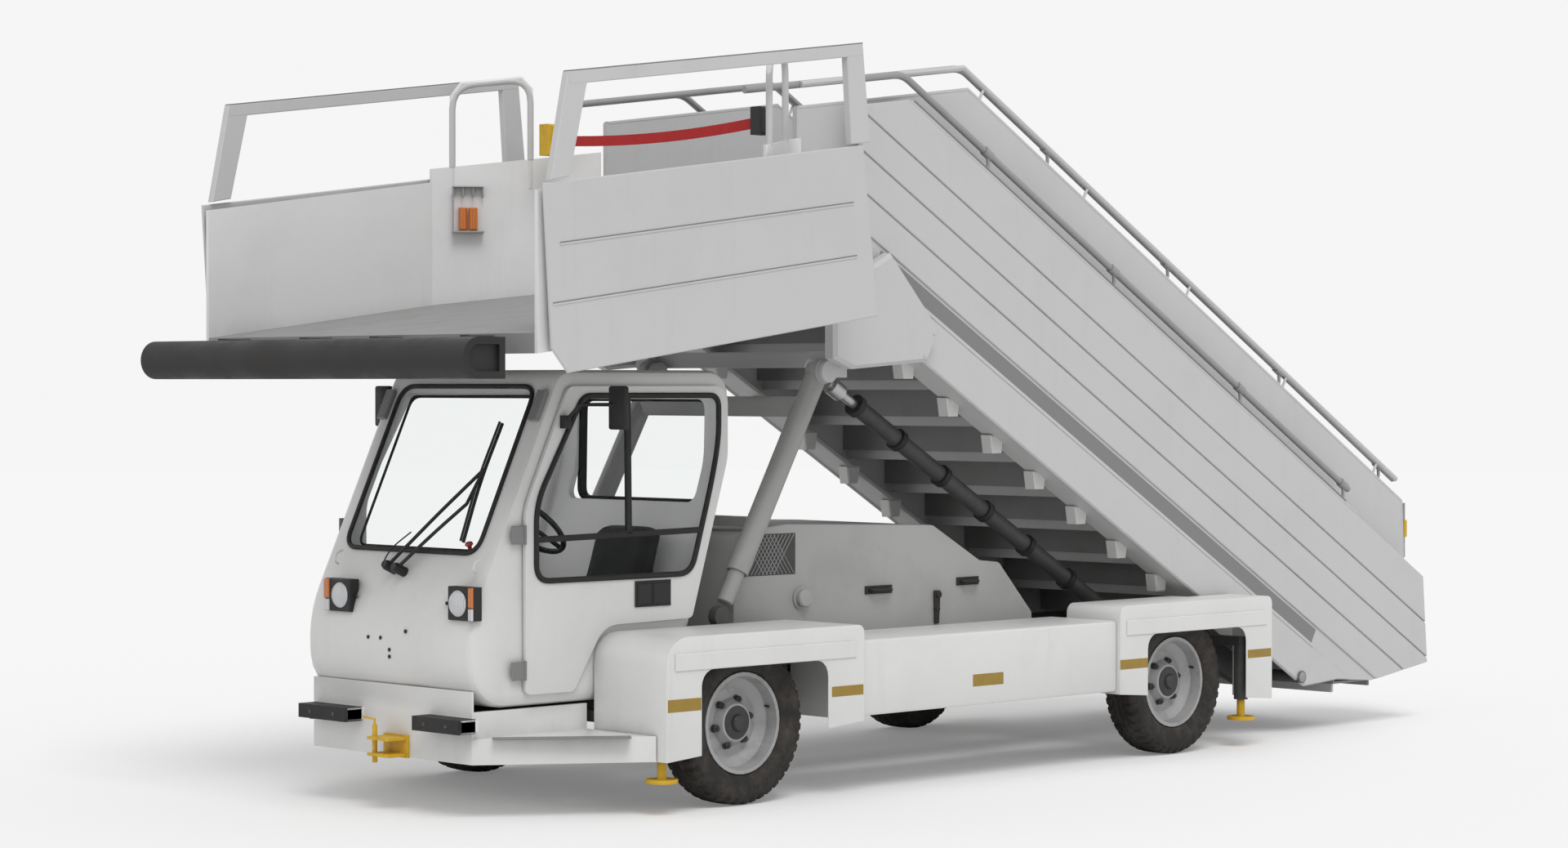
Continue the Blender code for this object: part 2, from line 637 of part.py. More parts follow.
def knuckle(name, side):
    z = TYRE_RADIUS
    pieces = [rod((0, side * (KINGPIN_Y - 0.075), z), (0, side * (TYRE_Y - 0.045), z), 0.05),
              block((-0.04, 0.04), span(side, 0.775, 0.84), (z - 0.09, z + 0.09), 0.01, 1),
              block((0.03, 0.16), span(side, 0.785, 0.815), (z - 0.06, z - 0.03))]
    attach(join(pieces[0], pieces[1:]), f"{name}_knuckle", f"{name}_kingpin", "dark_steel")


def axles():
    z = TYRE_RADIUS
    beam = [block((-0.04, 0.04), (-0.70, 0.70), (z - 0.05, z + 0.03)),
            block((-0.045, 0.045), (-0.45, -0.35), (z, 0.4247)),
            block((-0.045, 0.045), (0.35, 0.45), (z, 0.4247))]
    for _, side in SIDES:
        beam.append(block((-0.03, 0.03), span(side, 0.66, 0.745), (z - 0.12, z + 0.12)))
    attach(join(beam[0], beam[1:]), "front_axle", "vehicle", "dark_steel")
    x = WHEELBASE
    rear = [rod((x, -TYRE_Y + 0.035, z), (x, TYRE_Y - 0.035, z), 0.045),
            rod((x, -0.15, z), (x, 0.15, z), 0.13),
            block((x - 0.045, x + 0.045), (-0.45, -0.35), (z, 0.498)),
            block((x - 0.045, x + 0.045), (0.35, 0.45), (z, 0.498))]
    attach(join(rear[0], rear[1:]), "rear_axle", "vehicle", "dark_steel")


def jacks():
    for end, x in zip(("front", "rear"), JACK_X):
        for name, side in SIDES:
            y = side * JACK_Y
            foot = [rod((x, y, JACK_TRAVEL), (x, y, JACK_TRAVEL + 0.018), 0.075, 32),
                    rod((x, y, JACK_TRAVEL + 0.01), (x, y, 0.255), 0.022),
                    rod((x, y, 0.25), (x, y, 0.55), 0.018)]
            attach(join(foot[0], foot[1:]), f"{name}_{end}_jack", f"{name}_{end}_jack_slide", "yellow_paint")


# flights
SHEET = 0.012


def stair_ribbon(first_s, nosing_t, count, half, foot, end_x=None):
    """Folded treads and risers as one outline across the flight.

    first_s is the lowest nosing, and foot the height of the riser below it.
    """
    slope = math.radians(FLIGHT_DEG)
    pitch = RUN / math.cos(slope)
    rise = pitch * math.sin(slope)
    top, under = [], []
    for index in range(count):
        x, z = along_flight(first_s + index * pitch, nosing_t)
        top += [(x, z - rise), (x, z)]
        under += [(x - SHEET, z - rise - SHEET), (x - SHEET, z - SHEET)]
    x_end = x - RUN if end_x is None else end_x
    z_end = z if end_x is None else deck_z(end_x)
    top.append((x_end, z_end))
    under.append((x_end, z_end - SHEET))
    top[0] = (top[0][0], top[1][1] - foot)
    under[0] = (under[0][0], top[0][1])
    return plate(top + under[::-1], -half, half)


def flight_side(outline, plate_y, side, extra):
    panel = plate(outline, *span(side, plate_y - SIDE_PLATE, plate_y))
    return join(panel, extra)


LOWER_TOP_T = 1.06
UPPER_TOP_T = 1.42
LOWER_RAIL_T = 1.153
UPPER_RAIL_T = 1.503
LOWER_NOSING_T = 0.30
UPPER_NOSING_T = 0.52
LOWER_HEAD_X = 0.98
BRACKET_S, BRACKET_STEP = 1.222, 0.3845
CYLINDER_T = -0.285           # the extension cylinder lies this far below the rear hinge's slope line
CYLINDER_Y = -0.50


def on_cylinder(s):
    """A point on the extension cylinder's axis, s up the slope from the rear hinge."""
    x, z = along_flight(s, CYLINDER_T)
    return x, CYLINDER_Y, z


def level_rail(knee, x):
    """(x, z) on the rail's level part, which runs forward from its knee with the platform's tilt."""
    return x, knee[1] - (knee[0] - x) * math.tan(math.radians(PLATFORM_DEG))


def lower_side_extras(side):
    """The rail with its posts, the flange under the side and the step brackets below the flange."""
    y = side * 0.832
    knee, foot = along_flight(4.387, LOWER_RAIL_T), along_flight(0.10, LOWER_RAIL_T)
    front = level_rail(knee, LOWER_HEAD_X + 0.03)
    extras = [bent_tube([(x, y, z) for x, z in (foot, knee, front)], 0.016)]
    for s in (0.25, 1.25, 2.25, 3.25, 4.2):
        low, high = along_flight(s, LOWER_TOP_T - 0.05), along_flight(s, LOWER_RAIL_T)
        extras.append(rod((low[0], y, low[1]), (high[0], y, high[1]), 0.008, 12))
    flange_y = side * (FLANGE_Y + LOWER_Y - 0.01) / 2
    low, high = along_flight(0.15, FLANGE_T), along_flight(3.85, FLANGE_T)
    extras.append(bar((low[0], flange_y, low[1]), (high[0], flange_y, high[1]),
                      LOWER_Y - 0.01 - FLANGE_Y, 0.02))
    for index in range(7):
        x, z = along_flight(BRACKET_S + index * BRACKET_STEP, FLANGE_T - 0.03)
        extras.append(block((x - 0.035, x + 0.035), span(side, FLANGE_Y + 0.005, FLANGE_Y + 0.07),
                            (z - 0.05, z + 0.045)))
    return extras


def lower_flight():
    knee = along_flight(4.30, LOWER_TOP_T)
    panel = [(5.703, 0.842), (REAR_END, 0.335), (5.20, 0.26), (4.87, 0.285), along_flight(-0.06, -0.06)]
    panel += [along_flight(3.45, -0.06), (1.36, 2.081), (LOWER_HEAD_X, 2.06)]
    panel += [level_rail(knee, LOWER_HEAD_X), knee]
    for name, side in SIDES:
        side_solid = flight_side(panel, LOWER_Y, side, lower_side_extras(side))
        hole = rod((PIN_X, side * 0.7, PIN_Z), (PIN_X, side * 1.0, PIN_Z), PIN_RADIUS + 0.002)
        attach(cut(side_solid, [hole]), f"lower_flight_{name}_side", "lower_flight_hinge", "white_paint")
    inner = LOWER_Y - SIDE_PLATE - FIT
    steps = stair_ribbon(-0.62, LOWER_NOSING_T, 12, inner, 0.04)
    attach(steps, "lower_flight_steps", "lower_flight_hinge", "grey_paint")
    ring_x, ring_z = LIFT_RING
    beam_x, beam_z = ring_x + 0.10, ring_z + 0.06
    beam = bar((beam_x, -inner, beam_z), (beam_x, inner, beam_z), 0.08, 0.08)
    lugs = []
    for _, side in SIDES:
        lugs.append(rod((ring_x, side * 0.655, ring_z), (ring_x, side * 0.685, ring_z), 0.055))
        lugs.append(block((ring_x, ring_x + 0.12), span(side, 0.655, 0.685), (ring_z - 0.03, ring_z + 0.09)))
    notch = rod(on_cylinder(3.4), on_cylinder(4.4), 0.058)
    beam = cut(join(beam, lugs), [notch])
    attach(beam, "lower_flight_head_beam", "lower_flight_hinge", "white_paint")


def upper_flight():
    knee = along_flight(3.862, UPPER_TOP_T)
    front_x = 0.66
    bottom_s = -0.50
    panel = [(5.676, 1.291), (5.695, 0.977), (5.70, 0.70), along_flight(bottom_s + 0.15, 0.42)]
    panel += [along_flight(4.05, 0.42), (front_x, deck_z(front_x) - 0.10)]
    panel += [level_rail(knee, front_x), knee]
    for name, side in SIDES:
        rail_knee = along_flight(3.934, UPPER_RAIL_T)
        rail_foot = along_flight(-0.415, UPPER_RAIL_T)
        rail_front = level_rail(rail_knee, 0.70)
        y = side * 0.700
        extra = [bent_tube([(rail_foot[0], y, rail_foot[1]), (rail_knee[0], y, rail_knee[1]),
                            (rail_front[0], y, rail_front[1])], 0.016)]
        for s in (-0.2, 0.8, 1.8, 2.8, 3.75):
            low, high = along_flight(s, UPPER_TOP_T - 0.05), along_flight(s, UPPER_RAIL_T)
            extra.append(rod((low[0], y, low[1]), (high[0], y, high[1]), 0.008, 12))
        solid = flight_side(panel, UPPER_Y, side, extra)
        attach(solid, f"upper_flight_{name}_side", "upper_flight_slide", "white_paint")
    inner = UPPER_Y - SIDE_PLATE - FIT
    steps = stair_ribbon(-0.42, UPPER_NOSING_T, 12, inner, 0.19, 0.66)
    attach(steps, "upper_flight_steps", "upper_flight_slide", "grey_paint")


# platform
def platform():
    front_x, corner_x, rear_x = -1.44, -0.06, 0.655
    inner_y, rear_y, wall = 1.225, UPPER_Y + 0.01, 0.02
    deck = plate([(rear_x, deck_z(rear_x)), (rear_x, deck_z(rear_x) - 0.09),
                  (front_x, deck_z(front_x) - 0.09), (front_x, deck_z(front_x))], -inner_y, inner_y)
    # each side wall is straight, then turns in towards the upper flight; its top follows the deck's tilt
    height = [(rear_x, -0.09), (front_x, -0.09), (front_x, 0.62), (corner_x, 0.63), (corner_x, 0.70),
              (rear_x, 0.70)]
    for name, side in SIDES:
        corner = [(corner_x, side * inner_y), (rear_x + 0.1, side * (rear_y - 0.07)),
                  (rear_x + 0.1, side * 1.4), (corner_x, side * 1.4)]
        deck = cut(deck, [plate(corner, 2.0, 3.0, "Z")])
        near, far = inner_y + FIT, inner_y + FIT + wall
        plan = [(front_x, side * near), (front_x, side * far), (corner_x + 0.007, side * far),
                (rear_x, side * (rear_y + wall * 1.22)), (rear_x, side * (rear_y + FIT * 2)),
                (corner_x, side * near)]
        panel = join(plate(plan, 2.0, 3.6, "Z"), [plate([(x, deck_z(x) + up) for x, up in height], -2, 2)],
                     "INTERSECT")
        attach(join(panel, [corner_hoop(side)]), f"platform_{name}_wall", "upper_flight_slide", "white_paint")
        platform_screen(name, side)
    attach(deck, "platform_deck", "upper_flight_slide", "grey_paint")
    strap = bar((BELT_X, -BELT_Y, BELT_Z), (BELT_X, BELT_Y, BELT_Z), 0.004, 0.05)
    attach(strap, "gate_belt", "upper_flight_slide", "belt_red")


def corner_hoop(side):
    """The tube that stands on a side wall where it turns in."""
    feet = [(x, side * y) for x, y in ((0.03, 1.1725), (0.36, 0.9415))]
    (front_x, front_y), (rear_x, rear_y) = feet
    low, high = 0.55, 1.12
    path = []
    arch = ((0.0, low), (0.0, high - 0.06), (0.12, high), (0.88, high), (1.0, high - 0.06), (1.0, low))
    for share, up in arch:
        x = front_x + (rear_x - front_x) * share
        path.append((x, front_y + (rear_y - front_y) * share, deck_z(x) + up))
    return bent_tube(path, 0.014)


def platform_screen(name, side):
    outer = [(-1.441, 2.844), (0.541, 3.106), (0.641, 2.297), (-1.30, 2.022), (-1.395, 2.13)]
    screen = plate(outer, *span(side, PLATFORM_Y - 0.018, PLATFORM_Y))
    bar_y = side * (PLATFORM_Y - 0.018)
    corners = [(-1.34, 2.85), (-1.28, 3.337), (0.515, 3.578), (0.515, 3.09)]
    frame = []
    for (x0, z0), (x1, z1) in zip(corners, corners[1:]):
        frame.append(bar((x0, bar_y, z0), (x1, bar_y, z1), 0.035, 0.05))
    attach(join(screen, frame), f"platform_{name}_screen", f"platform_{name}_screen_slide", "white_paint")


def platform_bumper():
    nose_z, high = 2.087, 0.09
    back_x, round_x = -1.60, FRONT_END + 0.10
    section = [(back_x, nose_z - high, 0.0), (round_x, nose_z - high, 0.06), (FRONT_END, nose_z - 0.03, 0.03),
               (FRONT_END, nose_z + 0.03, 0.03), (round_x, nose_z + high, 0.06), (back_x, nose_z + high, 0.0)]
    bumper = plate(rounded(section, 4), -1.22, 1.22)
    bore = plate(rounded(inset(section, 0.02), 3), -1.3, 1.3)
    attach(cut(bumper, [bore]), "platform_bumper", "upper_flight_slide", "rubber")


# lift
def lift():
    eye, ring = Vector(LIFT_EYE), Vector(LIFT_RING)
    along = (ring - eye).normalized()

    def at(distance, y):
        place = eye + along * distance
        return (place.x, y, place.y)

    reach = (ring - eye).length
    legs = []
    for name, side in SIDES:
        y = side * LIFT_Y
        barrel = rod(at(0.075, y), at(1.25, y), 0.040)
        attach(barrel, f"{name}_lift_cylinder", "vehicle", "grey_paint")
        legs.append(rod(at(0.24, y), at(reach - 0.04, y), 0.055))
        legs.append(rod((ring.x, side * 0.56, ring.y), (ring.x, side * 0.645, ring.y), 0.050))
    beam_place = at(reach - 0.20, 0)
    beam_x, _, beam_z = beam_place
    legs.append(bar((beam_x, -LIFT_Y, beam_z), (beam_x, LIFT_Y, beam_z), 0.08, 0.10))
    tie = at(0.515, 0)
    legs.append(bar((tie[0], -LIFT_Y, tie[2]), (tie[0], LIFT_Y, tie[2]), 0.05, 0.05))
    frame = join(legs[0], legs[1:])
    bores = [rod(at(0.0, side * LIFT_Y), at(1.275, side * LIFT_Y), 0.045) for _, side in SIDES]
    attach(cut(frame, bores), "lift_frame", "lift_slide", "grey_paint")


def extension_cylinder():
    barrel = rod(on_cylinder(1.30), on_cylinder(3.55), 0.045)
    bore = rod(on_cylinder(1.60), on_cylinder(3.70), 0.030)
    attach(cut(barrel, [bore]), "extension_cylinder", "lower_flight_hinge", "dark_steel")
    piston = rod(on_cylinder(1.65), on_cylinder(3.80), 0.025)
    head = rod(on_cylinder(3.70), on_cylinder(3.78), 0.045)
    attach(join(piston, [head]), "extension_rod", "extension_slide", "alloy")


# assembly
add_pivot("vehicle", (-ORIGIN_X, 0, 0))
for side_name, side_sign in SIDES:
    door_hinge = (-1.006, side_sign * (CAB_HALF + DOOR_GAP + DOOR_THICK), 1.0)
    add_pivot(f"{side_name}_door_hinge", door_hinge, "vehicle")
    add_pivot(f"{side_name}_kingpin", (0, side_sign * KINGPIN_Y, TYRE_RADIUS), "vehicle")
    add_pivot(f"{side_name}_front_wheel_axle", (0, side_sign * TYRE_Y, TYRE_RADIUS), f"{side_name}_kingpin")
    add_pivot(f"{side_name}_rear_wheel_axle", (WHEELBASE, side_sign * TYRE_Y, TYRE_RADIUS), "vehicle")
    for end_name, jack_x in zip(("front", "rear"), JACK_X):
        add_pivot(f"{side_name}_{end_name}_jack_slide", (jack_x, side_sign * JACK_Y, JACK_TRAVEL), "vehicle")
add_pivot("lower_flight_hinge", (PIN_X, 0, PIN_Z), "vehicle")
add_pivot("upper_flight_slide", (PIN_X, 0, PIN_Z), "lower_flight_hinge")
for side_name, side_sign in SIDES:
    add_pivot(f"platform_{side_name}_screen_slide", (0.5, side_sign * PLATFORM_Y, 2.3), "upper_flight_slide")
add_pivot("extension_slide", (PIN_X, 0, PIN_Z), "lower_flight_hinge")
add_pivot("lift_slide", (LIFT_EYE[0], 0, LIFT_EYE[1]), "vehicle")

chassis_frame()
front_body()
tow_hitch()
cab()
doors()
body_sides()
engine()
wheels()
axles()
jacks()
lower_flight()
upper_flight()
platform()
platform_bumper()
lift()
extension_cylinder()
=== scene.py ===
import json

import bmesh
import bpy
import numpy as np
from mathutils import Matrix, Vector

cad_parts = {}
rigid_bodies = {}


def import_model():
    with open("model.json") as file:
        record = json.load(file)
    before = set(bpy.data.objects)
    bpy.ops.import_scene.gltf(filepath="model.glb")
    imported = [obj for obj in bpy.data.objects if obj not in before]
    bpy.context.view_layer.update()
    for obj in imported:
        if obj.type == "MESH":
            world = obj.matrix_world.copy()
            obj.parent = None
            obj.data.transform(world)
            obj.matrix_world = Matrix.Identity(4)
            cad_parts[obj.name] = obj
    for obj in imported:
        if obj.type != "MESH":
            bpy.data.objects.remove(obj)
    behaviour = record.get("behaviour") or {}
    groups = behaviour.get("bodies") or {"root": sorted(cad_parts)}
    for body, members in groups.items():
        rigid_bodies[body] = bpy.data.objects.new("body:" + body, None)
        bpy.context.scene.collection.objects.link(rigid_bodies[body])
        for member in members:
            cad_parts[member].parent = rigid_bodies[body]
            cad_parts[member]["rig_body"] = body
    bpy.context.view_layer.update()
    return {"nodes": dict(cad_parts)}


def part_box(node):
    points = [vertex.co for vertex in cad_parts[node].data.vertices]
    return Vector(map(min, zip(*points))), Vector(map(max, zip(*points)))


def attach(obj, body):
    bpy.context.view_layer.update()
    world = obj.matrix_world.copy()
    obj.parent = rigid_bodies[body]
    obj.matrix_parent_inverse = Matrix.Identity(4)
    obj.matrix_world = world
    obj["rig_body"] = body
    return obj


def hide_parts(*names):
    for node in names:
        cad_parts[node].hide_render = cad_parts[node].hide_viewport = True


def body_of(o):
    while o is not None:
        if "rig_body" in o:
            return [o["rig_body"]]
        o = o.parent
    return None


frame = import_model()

print("frame loaded")

# Lengths are in metres. Pieces are worked out with x measured from the front axle, then moved to the CAD's place.
tyreLow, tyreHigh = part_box("left_front_tyre")
axleX = (tyreLow.x + tyreHigh.x) / 2
sides = (("left", -1), ("right", 1))


# Finishes: each is a node material on object coordinates.

def newMaterial(name):
    material = bpy.data.materials.new(name)
    material.use_nodes = True
    tree = material.node_tree
    return material, tree, tree.nodes["Principled BSDF"]


def addNode(tree, kind, values=(), links=()):
    # a node with its input values set by name and its inputs linked from other sockets
    node = tree.nodes.new(kind)
    for key, value in dict(values).items():
        if key in node.inputs:
            node.inputs[key].default_value = value
        else:
            setattr(node, key, value)
    for key, socket in dict(links).items():
        tree.links.new(socket, node.inputs[key])
    return node


def noiseAt(tree, scale, stretch=(1, 1, 1), detail=4.0, roughness=0.55):
    place = addNode(tree, "ShaderNodeTexCoord")
    turn = addNode(tree, "ShaderNodeMapping", {"Scale": stretch}, {"Vector": place.outputs["Object"]})
    noise = addNode(tree, "ShaderNodeTexNoise", {"Scale": scale, "Detail": detail, "Roughness": roughness},
                    {"Vector": turn.outputs["Vector"]})
    return noise.outputs["Fac"]


def ranged(tree, socket, low, high, outLow=0.0, outHigh=1.0):
    node = addNode(tree, "ShaderNodeMapRange",
                   {"From Min": low, "From Max": high, "To Min": outLow, "To Max": outHigh}, {"Value": socket})
    return node.outputs["Result"]


def mathOf(tree, operation, first, second):
    node = addNode(tree, "ShaderNodeMath", {"operation": operation, "use_clamp": True})
    for index, value in enumerate((first, second)):
        if isinstance(value, (int, float)):
            node.inputs[index].default_value = value
        else:
            tree.links.new(value, node.inputs[index])
    return node.outputs["Value"]


def mixColour(tree, factor, first, second):
    node = tree.nodes.new("ShaderNodeMix")
    node.data_type = "RGBA"
    tree.links.new(factor, node.inputs[0])
    for socket, colour in ((node.inputs[6], first), (node.inputs[7], second)):
        if isinstance(colour, tuple):
            socket.default_value = (*colour, 1.0)
        else:
            tree.links.new(colour, socket)
    return node.outputs[2]


def bumped(tree, shader, height, strength, distance):
    node = addNode(tree, "ShaderNodeBump", {"Strength": strength, "Distance": distance}, {"Height": height})
    tree.links.new(node.outputs["Normal"], shader.inputs["Normal"])


def paintFinish(name, look):
    # paint that is cleaner on open faces, with painted shade in its corners and recesses from an ambient occlusion mask
    # broken up by cloudy noise, and grime in faint runs down the sides and in cloudy patches
    material, tree, shader = newMaterial(name)
    # ambient occlusion: the corner mask is painted shade, darker where corners and recesses block the light
    corners = addNode(tree, "ShaderNodeAmbientOcclusion", {"Distance": look["cornerReach"], "samples": 6})
    inCorner = ranged(tree, corners.outputs["AO"], 0.92, 0.35)
    cloudy = ranged(tree, noiseAt(tree, look["cloudScale"], detail=6.0, roughness=0.65), 0.48, 0.78)
    runs = ranged(tree, noiseAt(tree, 9.0, (1.0, 1.0, 0.09), 5.0, 0.7), 0.56, 0.80)
    speckle = ranged(tree, noiseAt(tree, 60.0, detail=3.0), 0.60, 0.75)
    # the mix amount is painted corner shade plus grime in cloudy patches, runs and specks
    grimeAndShade = mathOf(tree, "MULTIPLY", inCorner, mathOf(tree, "ADD", mathOf(tree, "MULTIPLY", cloudy, 0.8), 0.45))
    grimeAndShade = mathOf(tree, "MULTIPLY", grimeAndShade, look["cornerGrimeAndShade"])
    grimeAndShade = mathOf(tree, "ADD", grimeAndShade, mathOf(tree, "MULTIPLY", cloudy, look["cloudGrime"]))
    grimeAndShade = mathOf(tree, "ADD", grimeAndShade, mathOf(tree, "MULTIPLY", runs, look["runGrime"]))
    grimeAndShade = mathOf(tree, "ADD", grimeAndShade, mathOf(tree, "MULTIPLY", speckle, look["speckleGrime"]))
    colour = mixColour(tree, grimeAndShade, look["colour"], look["grimeAndShadeColour"])
    tree.links.new(colour, shader.inputs["Base Color"])
    rough = ranged(tree, grimeAndShade, 0.0, 1.0, look["roughness"], 0.85)
    tree.links.new(rough, shader.inputs["Roughness"])
    shader.inputs["Metallic"].default_value = look["metallic"]
    bumped(tree, shader, noiseAt(tree, look["peelScale"], detail=2.0), look["peel"], 0.001)
    return material


basePaint = {"colour": (0.80, 0.80, 0.79), "grimeAndShadeColour": (0.20, 0.19, 0.18), "roughness": 0.38, "metallic": 0.0,
             "cornerReach": 0.10, "cornerGrimeAndShade": 0.45, "cloudScale": 1.8, "cloudGrime": 0.08, "runGrime": 0.08,
             "speckleGrime": 0.03, "peelScale": 260.0, "peel": 0.06}
whitePaint = paintFinish("whitePaint", basePaint)
panelPaint = paintFinish("panelPaint", {**basePaint, "colour": (0.62, 0.62, 0.62), "roughness": 0.48,
                                        "cloudGrime": 0.07, "runGrime": 0.06, "cornerGrimeAndShade": 0.35})
# a paler copy of the white paint with weaker corner shade: painted light for the bounce light on the platform walls'
# inner faces
bounceLitWhitePaint = paintFinish("bounceLitWhitePaint", {**basePaint, "colour": (0.84, 0.84, 0.84), "cornerGrimeAndShade": 0.30})
railPaint = paintFinish("railPaint", {**basePaint, "colour": (0.36, 0.36, 0.36), "roughness": 0.45,
                                      "cloudScale": 5.0, "cloudGrime": 0.22, "metallic": 0.25})
liftPaint = paintFinish("liftPaint", {**basePaint, "colour": (0.40, 0.40, 0.39), "roughness": 0.50,
                                      "cloudScale": 3.0, "cloudGrime": 0.30, "cornerGrimeAndShade": 0.55})
hoodPaint = paintFinish("hoodPaint", {**basePaint, "colour": (0.44, 0.44, 0.43), "roughness": 0.55,
                                      "cloudScale": 2.4, "cloudGrime": 0.25, "cornerGrimeAndShade": 0.60})
stepPaint = paintFinish("stepPaint", {**basePaint, "colour": (0.30, 0.30, 0.30), "roughness": 0.60,
                                      "cloudScale": 3.5, "cloudGrime": 0.35, "cornerGrimeAndShade": 0.60})
rimPaint = paintFinish("rimPaint", {**basePaint, "colour": (0.42, 0.42, 0.42), "roughness": 0.45, "metallic": 0.2,
                                    "cloudScale": 9.0, "cloudGrime": 0.35, "cornerReach": 0.05, "cornerGrimeAndShade": 0.8,
                                    "grimeAndShadeColour": (0.08, 0.075, 0.07)})
darkPaint = paintFinish("darkPaint", {**basePaint, "colour": (0.055, 0.055, 0.055), "roughness": 0.55,
                                      "grimeAndShadeColour": (0.16, 0.15, 0.14), "cloudGrime": 0.35, "cornerGrimeAndShade": 0.1,
                                      "cloudScale": 6.0, "metallic": 0.1})
hubPaint = paintFinish("hubPaint", {**basePaint, "colour": (0.045, 0.045, 0.048), "roughness": 0.42,
                                    "grimeAndShadeColour": (0.14, 0.12, 0.10), "cloudScale": 18.0, "cloudGrime": 0.4,
                                    "cornerGrimeAndShade": 0.2, "metallic": 0.3})
yellowPaint = paintFinish("yellowPaint", {**basePaint, "colour": (0.72, 0.44, 0.015), "roughness": 0.42,
                                          "grimeAndShadeColour": (0.22, 0.13, 0.02), "cloudScale": 12.0, "cloudGrime": 0.4,
                                          "cornerReach": 0.03, "cornerGrimeAndShade": 0.6})
ochreTape = paintFinish("ochreTape", {**basePaint, "colour": (0.36, 0.23, 0.03), "roughness": 0.35,
                                      "grimeAndShadeColour": (0.20, 0.13, 0.03), "cloudScale": 16.0, "cloudGrime": 0.35,
                                      "cornerGrimeAndShade": 0.1})
platedSteel = paintFinish("platedSteel", {**basePaint, "colour": (0.55, 0.55, 0.55), "roughness": 0.30,
                                          "metallic": 0.85, "cloudScale": 14.0, "cloudGrime": 0.2})
redKnob = paintFinish("redKnob", {**basePaint, "colour": (0.55, 0.02, 0.02), "cloudGrime": 0.05})


def rubberFinish(name, look):
    # moulded rubber: nearly black, paler where it is dusty, with a fine grain
    material, tree, shader = newMaterial(name)
    dust = ranged(tree, noiseAt(tree, look["dustScale"], detail=8.0, roughness=0.7), 0.42, 0.75)
    colour = mixColour(tree, mathOf(tree, "MULTIPLY", dust, look["dust"]), look["colour"], look["dustColour"])
    tree.links.new(colour, shader.inputs["Base Color"])
    tree.links.new(ranged(tree, dust, 0, 1, look["roughness"], 0.9), shader.inputs["Roughness"])
    shader.inputs["Specular IOR Level"].default_value = 0.35
    bumped(tree, shader, noiseAt(tree, look["grainScale"], detail=3.0), look["grain"], 0.0015)
    return material


baseRubber = {"colour": (0.016, 0.016, 0.017), "dustColour": (0.10, 0.09, 0.08), "dust": 0.5, "dustScale": 7.0,
              "roughness": 0.55, "grainScale": 320.0, "grain": 0.25}
blackRubber = rubberFinish("blackRubber", baseRubber)
noseRubber = rubberFinish("noseRubber", {**baseRubber, "colour": (0.020, 0.020, 0.021), "dust": 0.35,
                                         "dustScale": 3.0, "roughness": 0.48})
tyreRubber = rubberFinish("tyreRubber", {**baseRubber, "colour": (0.022, 0.021, 0.020), "dust": 0.65,
                                         "dustColour": (0.12, 0.10, 0.085), "dustScale": 10.0, "roughness": 0.75})
gasketRubber = rubberFinish("gasketRubber", {**baseRubber, "dust": 0.2, "roughness": 0.5, "dustScale": 20.0})
blackPlastic = rubberFinish("blackPlastic", {**baseRubber, "colour": (0.020, 0.020, 0.021), "dust": 0.25,
                                             "roughness": 0.4, "grainScale": 500.0, "grain": 0.4})
greyPlastic = rubberFinish("greyPlastic", {**baseRubber, "colour": (0.09, 0.09, 0.09), "dust": 0.2,
                                           "roughness": 0.5, "grainScale": 500.0, "grain": 0.4})


def glassFinish(name, tint, roughness):
    material, tree, shader = newMaterial(name)
    smear = ranged(tree, noiseAt(tree, 3.0, detail=6.0), 0.45, 0.8, roughness, roughness + 0.06)
    tree.links.new(smear, shader.inputs["Roughness"])
    shader.inputs["Base Color"].default_value = (*tint, 1.0)
    shader.inputs["Transmission Weight"].default_value = 1.0
    shader.inputs["IOR"].default_value = 1.02
    return material


clearGlass = glassFinish("clearGlass", (0.97, 0.98, 0.98), 0.0)
lensGlass = glassFinish("lensGlass", (0.95, 0.96, 0.97), 0.02)


def lampFinish(name, colour):
    # moulded lens: glossy plastic with vertical flutes
    material, tree, shader = newMaterial(name)
    place = addNode(tree, "ShaderNodeTexCoord")
    flutes = addNode(tree, "ShaderNodeTexWave", {"Scale": 45.0, "Distortion": 0.0, "bands_direction": "Y"},
                     {"Vector": place.outputs["Object"]})
    tone = mixColour(tree, flutes.outputs["Fac"], colour, tuple(c * 0.7 for c in colour))
    tree.links.new(tone, shader.inputs["Base Color"])
    shader.inputs["Roughness"].default_value = 0.15
    shader.inputs["Coat Weight"].default_value = 0.6
    bumped(tree, shader, flutes.outputs["Fac"], 0.4, 0.002)
    return material


orangeLens = lampFinish("orangeLens", (0.75, 0.20, 0.02))
redLens = lampFinish("redLens", (0.45, 0.015, 0.01))
clearLens = lampFinish("clearLens", (0.75, 0.76, 0.78))


